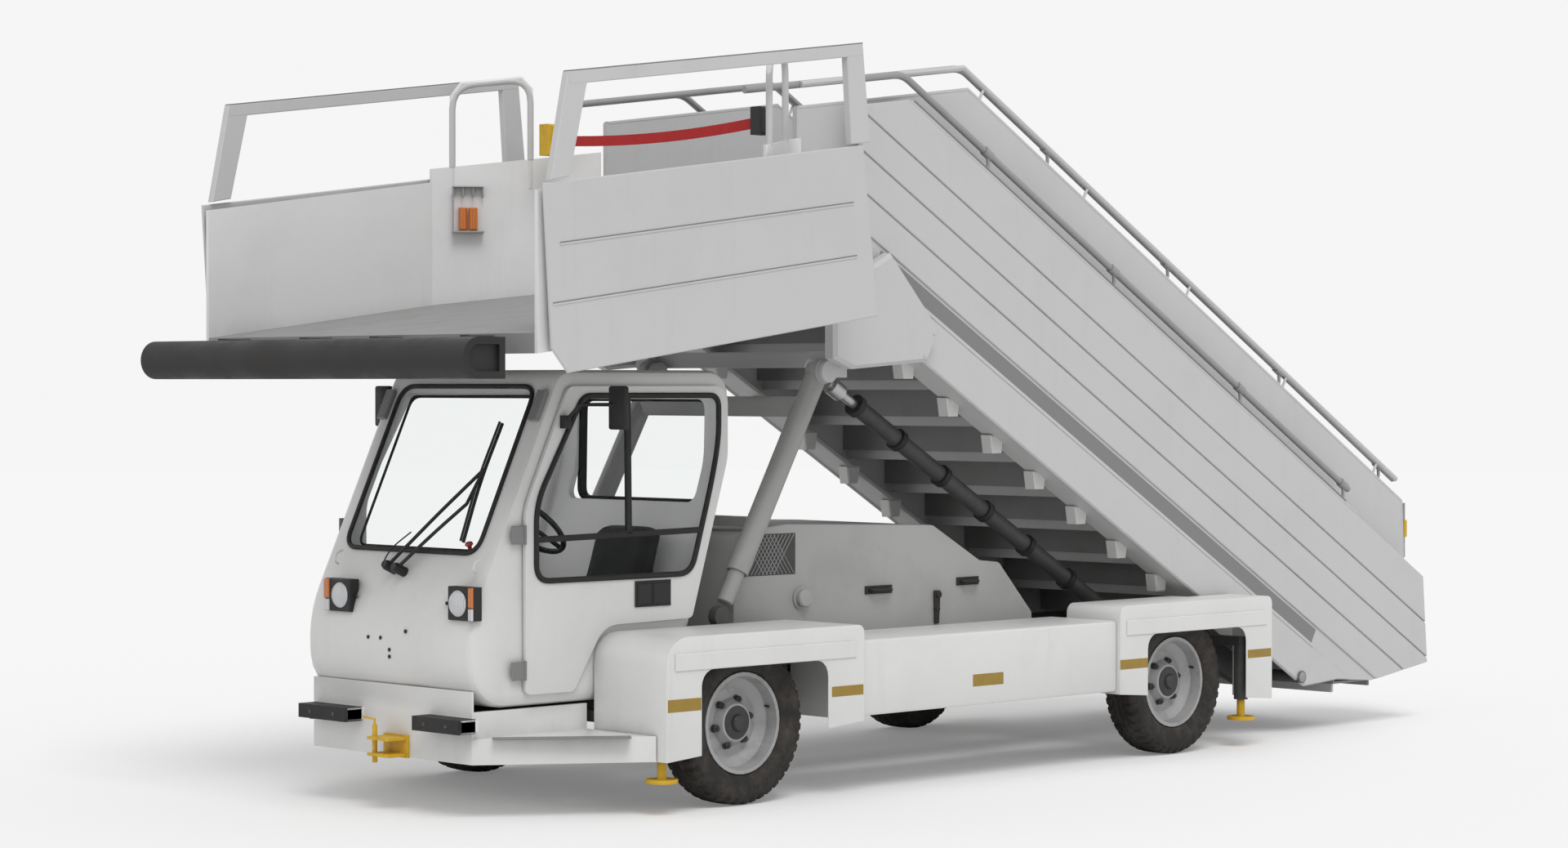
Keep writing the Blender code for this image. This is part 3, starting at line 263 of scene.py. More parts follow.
def weaveFinish(name, colour, pale, scale, strength):
    # woven fabric: two crossed waves for the threads, with cloudy wear
    material, tree, shader = newMaterial(name)
    place = addNode(tree, "ShaderNodeTexCoord")
    across = addNode(tree, "ShaderNodeTexWave", {"Scale": scale, "Distortion": 0.4, "bands_direction": "Y"},
                     {"Vector": place.outputs["Object"]})
    down = addNode(tree, "ShaderNodeTexWave", {"Scale": scale, "Distortion": 0.4, "bands_direction": "Z"},
                   {"Vector": place.outputs["Object"]})
    threads = mathOf(tree, "MULTIPLY", across.outputs["Fac"], down.outputs["Fac"])
    wear = ranged(tree, noiseAt(tree, 9.0, detail=6.0), 0.45, 0.8)
    blend = mathOf(tree, "ADD", mathOf(tree, "MULTIPLY", threads, 0.35), mathOf(tree, "MULTIPLY", wear, 0.35))
    tree.links.new(mixColour(tree, blend, colour, pale), shader.inputs["Base Color"])
    shader.inputs["Roughness"].default_value = 0.85
    shader.inputs["Sheen Weight"].default_value = 0.15
    bumped(tree, shader, threads, strength, 0.0012)
    return material


seatCloth = weaveFinish("seatCloth", (0.014, 0.014, 0.015), (0.05, 0.05, 0.052), 120.0, 0.5)
beltWeb = weaveFinish("beltWeb", (0.52, 0.012, 0.014), (0.66, 0.03, 0.03), 160.0, 0.5)

cadFinish = {
    whitePaint: ("front_body", "cab_shell", "left_door", "right_door", "left_front_fender", "right_front_fender",
                 "left_rear_fender", "right_rear_fender", "left_skirt", "right_skirt"),
    panelPaint: ("lower_flight_left_side", "lower_flight_right_side", "lower_flight_head_beam",
                 "upper_flight_left_side", "upper_flight_right_side", "platform_left_wall", "platform_right_wall",
                 "platform_left_screen", "platform_right_screen"),
    hoodPaint: ("engine_hood",),
    stepPaint: ("lower_flight_steps", "upper_flight_steps", "platform_deck"),
    liftPaint: ("left_lift_cylinder", "right_lift_cylinder", "lift_frame"),
    rimPaint: ("left_front_rim", "right_front_rim", "left_rear_rim", "right_rear_rim"),
    darkPaint: ("chassis_frame", "engine_block", "left_knuckle", "right_knuckle", "front_axle", "rear_axle",
                "extension_cylinder"),
    tyreRubber: ("left_front_tyre", "right_front_tyre", "left_rear_tyre", "right_rear_tyre"),
    noseRubber: ("platform_bumper",),
    blackPlastic: ("steering_wheel",),
    greyPlastic: ("dashboard",),
    seatCloth: ("seat_cushion", "seat_back"),
    clearGlass: ("windscreen", "rear_window", "left_door_glass", "right_door_glass"),
    yellowPaint: ("tow_hitch", "left_front_jack", "right_front_jack", "left_rear_jack", "right_rear_jack"),
    beltWeb: ("gate_belt",),
    platedSteel: ("extension_rod",),
}
for finish, names in cadFinish.items():
    for name in names:
        slots = frame["nodes"][name].data.materials
        slots.clear()
        slots.append(finish)
print("finishes made")


# Surfaces: every shape is a grid of points, rows along it and columns round it.

def surface(grid, closed=False, caps=True):
    # quads between neighbouring rows and columns; the columns wrap round, the rows wrap if closed, else the ends are capped
    rows, columns = grid.shape[:2]
    row = np.arange(rows if closed else rows - 1)[:, None]
    column = np.arange(columns)[None, :]
    nextRow, nextColumn = (row + 1) % rows, (column + 1) % columns
    quads = np.stack(np.broadcast_arrays(row * columns + column, nextRow * columns + column,
                                         nextRow * columns + nextColumn, row * columns + nextColumn), axis=-1)
    faces = quads.reshape(-1, 4).tolist()
    if caps and not closed:
        faces.append(np.arange(columns)[::-1].tolist())
        faces.append((np.arange(columns) + (rows - 1) * columns).tolist())
    return grid.reshape(-1, 3), faces


def unit(vectors):
    return vectors / np.maximum(np.linalg.norm(vectors, axis=-1, keepdims=True), 1e-9)


def ring(radius, count=16):
    # points at radius, at equal angles round a circle
    angle = np.arange(count) * 2 * np.pi / count
    return np.stack([radius * np.cos(angle), radius * np.sin(angle)], axis=1)


def barSection(width, height, soft=0.003):
    # a rectangle whose four corners are cut by soft: width across, height in the path's plane
    w, h = width / 2, height / 2
    return np.array([(w, -h + soft), (w, h - soft), (w - soft, h), (-w + soft, h),
                     (-w, h - soft), (-w, -h + soft), (-w + soft, -h), (w - soft, -h)])


def carry(path, section, flat=(0, 1, 0), closed=False):
    # point = path + a * across + b * normal: across leans on flat, normal stands in the bend and is longer at a corner
    path, flat = np.asarray(path, float), np.asarray(flat, float)
    after = np.roll(path, -1, axis=0) - path
    before = path - np.roll(path, 1, axis=0)
    if not closed:
        after[-1], before[0] = before[-1], after[0]
    after, before = unit(after), unit(before)
    along = unit(after + before)
    longer = 1 / np.maximum((along * after).sum(axis=1, keepdims=True), 0.4)
    across = unit(flat - (along @ flat)[:, None] * along)
    normal = np.cross(along, across) * longer
    grid = path[:, None] + section[None, :, :1] * across[:, None] + section[None, :, 1:] * normal[:, None]
    return surface(grid, closed)


def bent(points, radius, steps=5, closed=False):
    # straight runs whose corners are replaced by short quadratic curves that start a radius before the corner
    points = np.asarray(points, float)
    count = len(points)
    t = np.linspace(0, 1, steps + 1)[:, None]
    pieces = [] if closed else [points[:1]]
    for index in (range(count) if closed else range(1, count - 1)):
        corner, back, on = points[index], points[index - 1], points[(index + 1) % count]
        near = min(radius, 0.45 * np.linalg.norm(corner - back))
        far = min(radius, 0.45 * np.linalg.norm(on - corner))
        start = corner + unit(back - corner) * near
        end = corner + unit(on - corner) * far
        pieces.append((1 - t) ** 2 * start + 2 * t * (1 - t) * corner + t ** 2 * end)
    if not closed:
        pieces.append(points[-1:])
    return np.concatenate(pieces)


def tube(points, radius, bend=0.05, count=14, flat=(0, 1, 0), closed=False):
    return carry(bent(points, bend, 5, closed), ring(radius, count), flat, closed)


def moved(outline, distance):
    # the outline with every edge pushed inwards by distance
    outline = np.asarray(outline, float)
    edge = unit(np.roll(outline, -1, axis=0) - outline)
    area = (outline[:, 0] * np.roll(outline[:, 1], -1) - np.roll(outline[:, 0], -1) * outline[:, 1]).sum()
    inward = np.stack([-edge[:, 1], edge[:, 0]], axis=1) * np.sign(area)
    before = np.roll(inward, 1, axis=0)
    middle = unit(inward + before)
    return outline + middle * distance / np.maximum((middle * inward).sum(axis=1, keepdims=True), 0.3)


def slab(outline, low, high, soft=0.003, axis="y"):
    # a flat outline made thick along an axis, its two rims cut back by soft
    outline = np.asarray(outline, float)
    inner = moved(outline, soft)
    low, high = min(low, high), max(low, high)
    soft = min(soft, (high - low) / 2.5)
    rows = [(inner, low), (outline, low + soft), (outline, high - soft), (inner, high)]
    order = {"x": (2, 0, 1), "y": (0, 2, 1), "z": (0, 1, 2)}[axis]
    grid = np.stack([np.column_stack([flat, np.full(len(flat), level)])[:, order] for flat, level in rows])
    return surface(grid)


def brick(x, y, z, soft=0.004):
    return slab([(x[0], z[0]), (x[1], z[0]), (x[1], z[1]), (x[0], z[1])], y[0], y[1], soft)


def lathe(profile, centre, axis=(0, 1, 0), count=32):
    # a profile of (radius, height) pairs turned about an axis through centre; its flat ends are capped
    profile, axis = np.asarray(profile, float), unit(np.asarray(axis, float))
    helper = np.array((0.0, 0, 1)) if abs(axis[2]) < 0.9 else np.array((1.0, 0, 0))
    first = unit(np.cross(axis, helper))
    second = np.cross(axis, first)
    circle = ring(1.0, count)
    spokes = circle[:, :1] * first + circle[:, 1:] * second
    grid = np.asarray(centre, float) + profile[:, None, :1] * spokes[None] + profile[:, None, 1:] * axis
    return surface(grid)


def laid(shape, origin, axes):
    # a shape set down in another place: its x, y and z follow the three given axes
    points, faces = shape
    return np.asarray(origin, float) + points @ np.asarray(axes, float), faces


def mirrored(shape, side):
    # the same shape on the given side: y is multiplied by -side, for a shape worked out on the left
    points, faces = shape
    return points * np.array((1, -side, 1)), faces


def volumeOf(points, faces):
    # six times the signed volume inside the faces, each cut into a fan of triangles
    corners = [(face[0], face[i], face[i + 1]) for face in faces for i in range(1, len(face) - 1)]
    a, b, c = (points[np.array(corners)[:, k]] for k in range(3))
    return (a * np.cross(b, c)).sum()


def makePiece(name, shapes, finish, body, angle=35.0, replaces=()):
    # joins closed shapes into one mesh, each turned to face outwards, moved from the axle's place to the CAD's
    allPoints, allFaces, start = [], [], 0
    for points, faces in shapes:
        if volumeOf(points - points.mean(axis=0), faces) < 0:
            faces = [face[::-1] for face in faces]
        allPoints.append(points)
        allFaces += [[corner + start for corner in face] for face in faces]
        start += len(points)
    mesh = bpy.data.meshes.new(name)
    mesh.from_pydata(np.concatenate(allPoints) + np.array((axleX, 0, 0)), [], allFaces)
    mesh.polygons.foreach_set("use_smooth", np.ones(len(mesh.polygons), bool))
    mesh.set_sharp_from_angle(angle=np.radians(angle))
    mesh.materials.append(finish)
    mesh.update()
    piece = bpy.data.objects.new(name, mesh)
    bpy.context.scene.collection.objects.link(piece)
    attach(piece, body)
    if replaces:
        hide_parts(*replaces)
    return piece


# Camera, floor and light.

view = {"place": (-11.03, -12.605, 1.977), "tiltDown": 0.68, "turn": -44.299, "lens": 78.4}
camera = bpy.data.cameras.new("camera")
camera.lens = view["lens"]
camera.sensor_width = 36.0
camera.clip_end = 200.0
cameraObject = bpy.data.objects.new("camera", camera)
cameraObject.location = (view["place"][0] + axleX, view["place"][1], view["place"][2])
cameraObject.rotation_euler = np.radians((90 - view["tiltDown"], 0, view["turn"]))
bpy.context.scene.collection.objects.link(cameraObject)
bpy.context.scene.camera = cameraObject
bpy.context.scene.view_settings.view_transform = "Standard"

light = {"backdrop": 0.92, "sky": 0.56, "sun": 1.15, "softness": 28.0, "sunTurn": (36, 0, -30), "floorGlow": 0.16}


def backdropWorld():
    # the camera, glass and polished metal see the pale backdrop; everything else is lit by an even sky
    world = bpy.data.worlds.new("backdrop")
    world.use_nodes = True
    tree = world.node_tree
    tree.nodes.clear()
    rays = tree.nodes.new("ShaderNodeLightPath")
    seen = mathOf(tree, "ADD", rays.outputs["Is Camera Ray"],
                  mathOf(tree, "ADD", rays.outputs["Is Glossy Ray"], rays.outputs["Is Transmission Ray"]))
    sky = addNode(tree, "ShaderNodeBackground", {"Color": (1, 1, 1, 1), "Strength": light["sky"]})
    pale = addNode(tree, "ShaderNodeBackground", {"Color": (light["backdrop"],) * 3 + (1,), "Strength": 1.0})
    mix = tree.nodes.new("ShaderNodeMixShader")
    out = tree.nodes.new("ShaderNodeOutputWorld")
    tree.links.new(seen, mix.inputs[0])
    tree.links.new(sky.outputs[0], mix.inputs[1])
    tree.links.new(pale.outputs[0], mix.inputs[2])
    tree.links.new(mix.outputs[0], out.inputs["Surface"])
    return world


bpy.context.scene.world = backdropWorld()
sun = bpy.data.lights.new("sun", "SUN")
sun.energy = light["sun"]
sun.angle = np.radians(light["softness"])
sunObject = bpy.data.objects.new("sun", sun)
sunObject.rotation_euler = np.radians(light["sunTurn"])
bpy.context.scene.collection.objects.link(sunObject)


def floorPiece():
    # a flat disc under the wheels, as bright as the backdrop where nothing shades it
    material, tree, shader = newMaterial("floorFinish")
    shader.inputs["Roughness"].default_value = 0.9
    shader.inputs["Specular IOR Level"].default_value = 0.0
    shader.inputs["Base Color"].default_value = (0.90, 0.90, 0.90, 1)
    shader.inputs["Emission Color"].default_value = (1, 1, 1, 1)
    rays = tree.nodes.new("ShaderNodeLightPath")
    seen = mathOf(tree, "ADD", rays.outputs["Is Camera Ray"], rays.outputs["Is Transmission Ray"])
    tree.links.new(mathOf(tree, "MULTIPLY", seen, light["floorGlow"]), shader.inputs["Emission Strength"])
    points = np.column_stack([ring(60.0, 96), np.zeros(96)])
    mesh = bpy.data.meshes.new("floor")
    mesh.from_pydata(points, [], [list(range(96))])
    mesh.materials.append(material)
    floor = bpy.data.objects.new("floor", mesh)
    bpy.context.scene.collection.objects.link(floor)


floorPiece()
print("camera, floor and light set")


# Wheels.

tyre = {"radius": 0.385, "width": 0.205, "around": 352, "blocks": 44, "depth": 0.009, "grooveAt": (-0.035, 0.0, 0.035),
        "grooveHalf": 0.0045, "zigzag": 0.004}
wheelPlaces = {"front": 0.0, "rear": 3.18}
wheelY = 0.947


def tyreShape(centre):
    # radius and width follow a rounded profile; the tread sinks where a zigzag groove or a shoulder slot passes
    r, half = tyre["radius"], tyre["width"] / 2
    knots = np.array([(0.243, 0.072), (0.262, 0.088), (0.290, half - 0.004), (0.320, half), (0.350, half - 0.002),
                      (0.368, half - 0.009), (r - 0.008, 0.083), (r - 0.003, 0.074), (r - 0.001, 0.045), (r, 0.0)])
    outer = np.concatenate([knots, (knots * (1, -1))[-2::-1]])
    steps = np.concatenate([[0], np.cumsum(np.linalg.norm(np.diff(outer, axis=0), axis=1))])
    at = np.concatenate([np.linspace(0, steps[6], 14)[:-1], np.linspace(steps[6], steps[12], 44),
                         np.linspace(steps[12], steps[-1], 14)[1:]])
    profile = np.column_stack([np.interp(at, steps, outer[:, 0]), np.interp(at, steps, outer[:, 1])])
    angle = np.arange(tyre["around"]) * 2 * np.pi / tyre["around"]
    wide = profile[:, 1][:, None]
    phase = angle[None, :] * tyre["blocks"] / (2 * np.pi)
    wave = np.abs((phase % 1) * 2 - 1) * 2 - 1
    sink = np.zeros((len(profile), tyre["around"]))
    for y in tyre["grooveAt"]:
        sink = np.maximum(sink, np.abs(wide - y - wave * tyre["zigzag"]) < tyre["grooveHalf"])
    slot = (np.abs(((phase + np.sign(wide) * 0.25) % 1) - 0.5) < 0.13) & (np.abs(wide) > 0.042)
    sink = np.maximum(sink, slot) * (profile[:, 0][:, None] > 0.355)
    radius = profile[:, 0][:, None] - sink * tyre["depth"]
    rows = np.stack([radius * np.cos(angle), np.broadcast_to(wide, radius.shape), radius * np.sin(angle)], axis=-1)
    return surface(rows + np.asarray(centre), closed=True)


def hubShapes(centre, side):
    # a turned hub with a raised collar and six nuts on studs round it
    shapes = [lathe([(0.001, 0.062), (0.034, 0.062), (0.040, 0.056), (0.042, 0.047), (0.060, 0.046), (0.078, 0.040),
                     (0.086, 0.026), (0.088, 0.000), (0.030, -0.004)], centre, (0, side, 0), 40)]
    for k in range(6):
        angle = np.radians(60 * k + 12)
        spot = np.asarray(centre) + (0.112 * np.cos(angle), side * -0.005, 0.112 * np.sin(angle))
        shapes.append(lathe([(0.020, 0.0), (0.020, 0.004), (0.0165, 0.005), (0.0165, 0.022), (0.013, 0.026),
                             (0.0085, 0.027), (0.0085, 0.034), (0.006, 0.036)], spot, (0, side, 0), 12))
    return shapes


for end, x in wheelPlaces.items():
    for name, side in sides:
        centre = (x, side * wheelY, tyre["radius"])
        body = f"{name}_{end}_wheel"
        makePiece(f"{name}_{end}_tread", [tyreShape(centre)], tyreRubber, body, 50,
                  (f"{name}_{end}_tyre",))
        makePiece(f"{name}_{end}_hub", hubShapes(centre, side), hubPaint, body)
        valve = tube([(x + 0.20, side * (wheelY + 0.02), 0.45), (x + 0.195, side * (wheelY + 0.05), 0.447)], 0.005,
                     flat=(0, 0, 1), count=8)
        makePiece(f"{name}_{end}_valve", [valve], blackPlastic, body)
print("wheels made")


# The two sloping flights.

slope = {"pinX": 4.52, "pinZ": 0.32, "degrees": 30.1, "platformDegrees": 7.5}
slopeCos, slopeSin = np.cos(np.radians(slope["degrees"])), np.sin(np.radians(slope["degrees"]))
platformTan = np.tan(np.radians(slope["platformDegrees"]))


def onSlope(s, t, y=None):
    # s runs up the slope from the rear hinge and t stands square to it
    x = slope["pinX"] - s * slopeCos + t * slopeSin
    z = slope["pinZ"] + s * slopeSin + t * slopeCos
    return (x, z) if y is None else (x, y, z)


def heightOn(outline, low, high):
    # the part of an (x, z) outline whose height t above the slope line is between low and high
    kept = [np.asarray(p, float) for p in outline]
    for level, sign in ((low, 1), (high, -1)):
        result = []
        for here, after in zip(kept, kept[1:] + kept[:1]):
            h = [sign * ((p[0] - slope["pinX"]) * slopeSin + (p[1] - slope["pinZ"]) * slopeCos - level)
                 for p in (here, after)]
            if h[0] >= 0:
                result.append(here)
            if h[0] * h[1] < 0:
                result.append(here + (after - here) * h[0] / (h[0] - h[1]))
        kept = result
    return np.array(kept)


lower = {"outer": 0.85, "thick": 0.030, "grooves": (0.31, 0.48, 0.65, 0.82, 1.052), "gap": 0.004,
         "gutter": (0.196, 0.31), "bracketAt": 1.222, "bracketStep": 0.3845, "brackets": 7, "bracketY": 0.685,
         "railY": 0.812, "railT": 1.153, "headX": 0.98}


def lowerOutline():
    knee = onSlope(4.30, 1.06)
    return [(5.703, 0.842), (5.745, 0.335), (5.20, 0.26), (4.87, 0.285), onSlope(-0.06, -0.03), onSlope(3.45, -0.03),
            (1.36, 2.081), (lower["headX"], 2.06), (lower["headX"], knee[1] - (knee[0] - lower["headX"]) * platformTan),
            knee]


def lowerSide(side):
    # a web with a boxed stringer, a sunk gutter and four long skins with narrow grooves between them
    outline, outer = lowerOutline(), side * lower["outer"]
    shapes = [slab(heightOn(outline, 0.19, 1.06), side * 0.822, side * 0.840, 0.001)]
    for low, high in zip(lower["grooves"], lower["grooves"][1:]):
        shapes.append(slab(heightOn(outline, low + lower["gap"], high - lower["gap"]), side * 0.838, outer, 0.004))
    shapes.append(slab(heightOn(outline, -0.03, lower["gutter"][0]), side * 0.822, outer, 0.008))
    capPath = [onSlope(0.0, 1.052, side * 0.838), onSlope(4.30, 1.052, side * 0.838)]
    shapes.append(carry(capPath, barSection(0.024, 0.014)))
    shapes.append(carry([onSlope(-0.02, 0.205, side * 0.834), onSlope(4.2, 0.205, side * 0.834)],
                        barSection(0.028, 0.020)))
    shapes.append(carry([onSlope(0.35, -0.012, side * 0.745), onSlope(3.95, -0.012, side * 0.745)],
                        barSection(0.185, 0.022)))
    return shapes


def stepBrackets(side):
    # trapezoid feet under the stringer's flange, one for each tread
    shapes = []
    for k in range(lower["brackets"]):
        x, z = onSlope(lower["bracketAt"] + k * lower["bracketStep"], -0.045)
        outline = [(x - 0.052, z + 0.045), (x + 0.052, z + 0.045), (x + 0.036, z - 0.050), (x - 0.036, z - 0.050)]
        shapes.append(slab(outline, side * (lower["bracketY"] - 0.038), side * (lower["bracketY"] + 0.038), 0.006))
    return shapes


def lowerRail(side):
    # a hand tube that bends level at the knee, on short brackets with round clamps
    y = side * lower["railY"]
    knee = onSlope(4.387, lower["railT"])
    front = (lower["headX"] + 0.03, y, knee[1] - (knee[0] - lower["headX"] - 0.03) * platformTan)
    shapes = [tube([onSlope(0.10, lower["railT"], y), (knee[0], y, knee[1]), front], 0.0185, 0.06)]
    for s in (0.10, 1.20, 2.45, 3.60):
        shapes.append(carry([onSlope(s + 0.03, lower["railT"], y), onSlope(s + 0.09, lower["railT"], y)], ring(0.025)))
        shapes.append(tube([onSlope(s + 0.06, lower["railT"], y), onSlope(s + 0.02, 1.10, y),
                            onSlope(s + 0.02, 1.03, y)], 0.009, 0.02, 10))
    return shapes


def slopeShadeStrips(side):
    # two dark grey strips of painted shade: one fills the sunk gutter's recess, one the gap between the two flights
    # under the rail
    return [carry([onSlope(0.0, 0.25, side * 0.839), onSlope(4.1, 0.25, side * 0.839)], barSection(0.006, 0.100, 0.002)),
            carry([onSlope(0.1, 1.075, side * 0.812), onSlope(4.25, 1.075, side * 0.812)], barSection(0.03, 0.02))]


# a dark grey for real parts such as hinges, clips and the step grip, also used for strips of painted shade
darkGreyAndShade = paintFinish("darkGreyAndShade", {**basePaint, "colour": (0.24, 0.24, 0.24), "roughness": 0.55})
for name, side in sides:
    makePiece(f"{name}_lower_skin", lowerSide(side), panelPaint, "lower_flight", 30,
              (f"lower_flight_{name}_side",))
    makePiece(f"{name}_step_brackets", stepBrackets(side), whitePaint, "lower_flight")
    makePiece(f"{name}_lower_rail", lowerRail(side), railPaint, "lower_flight")
    # the slope strips are painted shade in the gutter and between the flights
    makePiece(f"{name}_slope_shade_strips", slopeShadeStrips(side), darkGreyAndShade, "lower_flight")
    pinCap = lathe([(0.001, 0.012), (0.028, 0.012), (0.034, 0.008), (0.034, 0.0), (0.02, -0.004)],
                   (slope["pinX"], side * 0.851, slope["pinZ"]), (0, side, 0), 28)
    makePiece(f"{name}_hinge_cap", [pinCap], railPaint, "lower_flight")

upper = {"outer": 0.715, "railY": 0.681, "railT": 1.503, "frontX": 0.66}


def upperRail(side):
    y = side * upper["railY"]
    knee = onSlope(3.934, upper["railT"])
    front = (0.34, y, knee[1] - (knee[0] - 0.34) * platformTan)
    shapes = [tube([onSlope(-0.415, upper["railT"], y), (knee[0], y, knee[1]), front], 0.0185, 0.06)]
    for s in (-0.30, 0.80, 1.95, 3.10):
        shapes.append(carry([onSlope(s + 0.03, upper["railT"], y), onSlope(s + 0.09, upper["railT"], y)], ring(0.025)))
        shapes.append(tube([onSlope(s + 0.06, upper["railT"], y), onSlope(s + 0.02, 1.45, y),
                            onSlope(s + 0.02, 1.39, y)], 0.009, 0.02, 10))
    return shapes


def upperEdge(side):
    # the folded cap along the top of the upper side, down its rear end and forward over the landing
    y = side * 0.700
    knee = onSlope(3.862, 1.42)
    front = (upper["frontX"] + 0.01, y, knee[1] - (knee[0] - upper["frontX"]) * platformTan)
    rear = [(5.690, y, 0.99), (5.672, y, 1.285)]
    return [carry(np.array(rear + [(knee[0], y, knee[1]), front]), barSection(0.034, 0.016))]


for name, side in sides:
    makePiece(f"{name}_upper_rail", upperRail(side), railPaint, "upper_flight")
    makePiece(f"{name}_upper_edge", upperEdge(side), panelPaint, "upper_flight")
print("flights made")

upperSide = {"skin": 0.716, "seams": (0.52, 0.70, 0.88, 1.055, 1.235), "rear": 5.668}

def tailLamps(side):
    # a straight hand rail post at the foot of the upper flight, with a yellow switch box on it
    y = side * 0.700
    post = tube([(5.708, y, 0.95), (5.708, y, 1.27)], 0.012, count=12)
    box = brick((5.700, 5.728), (y - 0.018, y + 0.018), (1.07, 1.17), 0.006)
    return post, box


for name, side in sides:
    post, box = tailLamps(side)
    makePiece(f"{name}_rear_post", [post], railPaint, "upper_flight")
    makePiece(f"{name}_switch_box", [box], yellowPaint, "upper_flight")


def softened(node, width, finish, beyond=None, angle=32.0):
    # a copy of a CAD piece with its corners welded, flat faces joined and every sharp edge rounded by width;
    # beyond gives the distance from the middle past which its faces have another finish
    source = frame["nodes"][node]
    mesh = source.data.copy()
    work = bmesh.new()
    work.from_mesh(mesh)
    work.transform(source.matrix_world)
    bmesh.ops.remove_doubles(work, verts=work.verts, dist=0.00008)
    bmesh.ops.dissolve_limit(work, angle_limit=0.012, verts=work.verts, edges=work.edges)
    work.to_mesh(mesh)
    work.free()
    mesh.materials.clear()
    mesh.materials.append(finish)
    piece = bpy.data.objects.new(f"{node}_rounded", mesh)
    bpy.context.scene.collection.objects.link(piece)
    if beyond:
        mesh.materials.append(beyond[1])
        far = [polygon for polygon in mesh.polygons if abs(polygon.center.y) > beyond[0]]
        for polygon in far:
            polygon.material_index = 1
    if width:
        bevel = piece.modifiers.new("rounding", "BEVEL")
        bevel.width = width
        bevel.segments = 3
        bevel.limit_method = "ANGLE"
        bevel.angle_limit = np.radians(angle)
        bevel.harden_normals = True
    mesh.polygons.foreach_set("use_smooth", np.ones(len(mesh.polygons), bool))
    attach(piece, bodyOf[node])
    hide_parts(node)


bodyOf = {node: body_of(item)[0] for node, item in frame["nodes"].items()}
rounded = {"front_body": 0.004, "cab_shell": 0.008, "left_door": 0.006, "right_door": 0.006,
           "left_front_fender": 0.018, "right_front_fender": 0.018, "left_rear_fender": 0.018,
           "right_rear_fender": 0.018, "left_skirt": 0.010, "right_skirt": 0.010}
for node, width in rounded.items():
    softened(node, width, whitePaint, (0.649, blackPlastic) if node.endswith("door") else None)
# the platform walls take the paler white, which paints in bounce light
for node in ("platform_left_wall", "platform_right_wall"):
    softened(node, 0.003, bounceLitWhitePaint)
softened("lower_flight_head_beam", 0.004, panelPaint)
for node in ("tow_hitch", "left_front_jack", "right_front_jack", "left_rear_jack", "right_rear_jack"):
    softened(node, 0.003, yellowPaint)
for node in ("lift_frame", "left_lift_cylinder", "right_lift_cylinder"):
    softened(node, 0.005, liftPaint)
softened("engine_hood", 0.014, hoodPaint)
softened("chassis_frame", 0.003, darkPaint)
print("corners rounded")

# The platform: side screens, bumper, belt, lamps and hoops.

screen = {"inner": 1.272, "outer": 1.2885, "rim": 1.293, "rimWidth": 0.035,
          "plate": [(-1.441, 2.844), (0.541, 3.106), (0.641, 2.297), (-1.30, 2.022), (-1.395, 2.13)],
          "grooves": [((-1.348, 2.582), (0.471, 2.824)), ((-1.388, 2.318), (0.494, 2.574))],
          "front": [(-1.40, 2.86), (-1.301, 3.337), (-1.177, 3.352), (-1.29, 2.88)],
          "rear": [(0.585, 3.12), (0.535, 3.585), (0.425, 3.570), (0.458, 3.105)],
          "topFrom": (-1.295, 3.309), "topTo": (0.533, 3.556)}


def screenShapes(side):
    # a plate with two raised beads, and an open frame of two posts and a top rail
    plate, rim = np.array(screen["plate"]), side * screen["rim"]
    shapes = [slab(plate, side * screen["inner"], side * screen["outer"], 0.005)]
    for (x0, z0), (x1, z1) in screen["grooves"]:
        shapes.append(carry([(x0, side * 1.289, z0), (x1, side * 1.289, z1)], barSection(0.006, 0.010, 0.002)))
    for post in (screen["front"], screen["rear"]):
        shapes.append(slab(post, side * 1.248, side * 1.290, 0.004))
    (x0, z0), (x1, z1) = screen["topFrom"], screen["topTo"]
    shapes.append(carry([(x0, side * 1.269, z0), (x1, side * 1.269, z1)], barSection(0.044, 0.058, 0.004)))
    return shapes


def screenStripAndShadowLines(side):
    # the thin dark strip along the top rail, and painted shadow lines: dark lines just above the grooves' beads
    (x0, z0), (x1, z1) = screen["topFrom"], screen["topTo"]
    shapes = [carry([(x0, side * 1.269, z0 + 0.031), (x1, side * 1.269, z1 + 0.031)], barSection(0.040, 0.006, 0.001))]
    for (x0, z0), (x1, z1) in screen["grooves"]:
        shapes.append(carry([(x0, side * 1.2896, z0 + 0.008), (x1, side * 1.2896, z1 + 0.008)],
                            barSection(0.003, 0.005, 0.001)))
    return shapes


for name, side in sides:
    body = bodyOf[f"platform_{name}_screen"]
    makePiece(f"{name}_screen_plate", screenShapes(side), panelPaint, body, 30,
              (f"platform_{name}_screen",))
    makePiece(f"{name}_screen_strip_and_shadow_lines", screenStripAndShadowLines(side), darkGreyAndShade, body)


hoop = {"feet": ((0.03, 1.1725), (0.36, 0.9415)), "low": 0.69, "high": 1.105}


def hoopShape(side):
    # a tube bent over between two feet, as seen from the side it is a narrow arch
    (x0, y0), (x1, y1) = hoop["feet"]
    points = []
    for share, up in ((0.0, hoop["low"]), (0.0, hoop["high"]), (1.0, hoop["high"]), (1.0, hoop["low"])):
        x = x0 + (x1 - x0) * share
        points.append((x, side * (y0 + (y1 - y0) * share), hoopBase + (x - x0) * platformTan + up))
    return tube(points, 0.0165, 0.12, 16, flat=(0.57, side * 0.82, 0))


wallLow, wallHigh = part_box("platform_left_wall")
hoopBase = wallHigh.z - 1.12 - (0.36 - 0.03) * platformTan


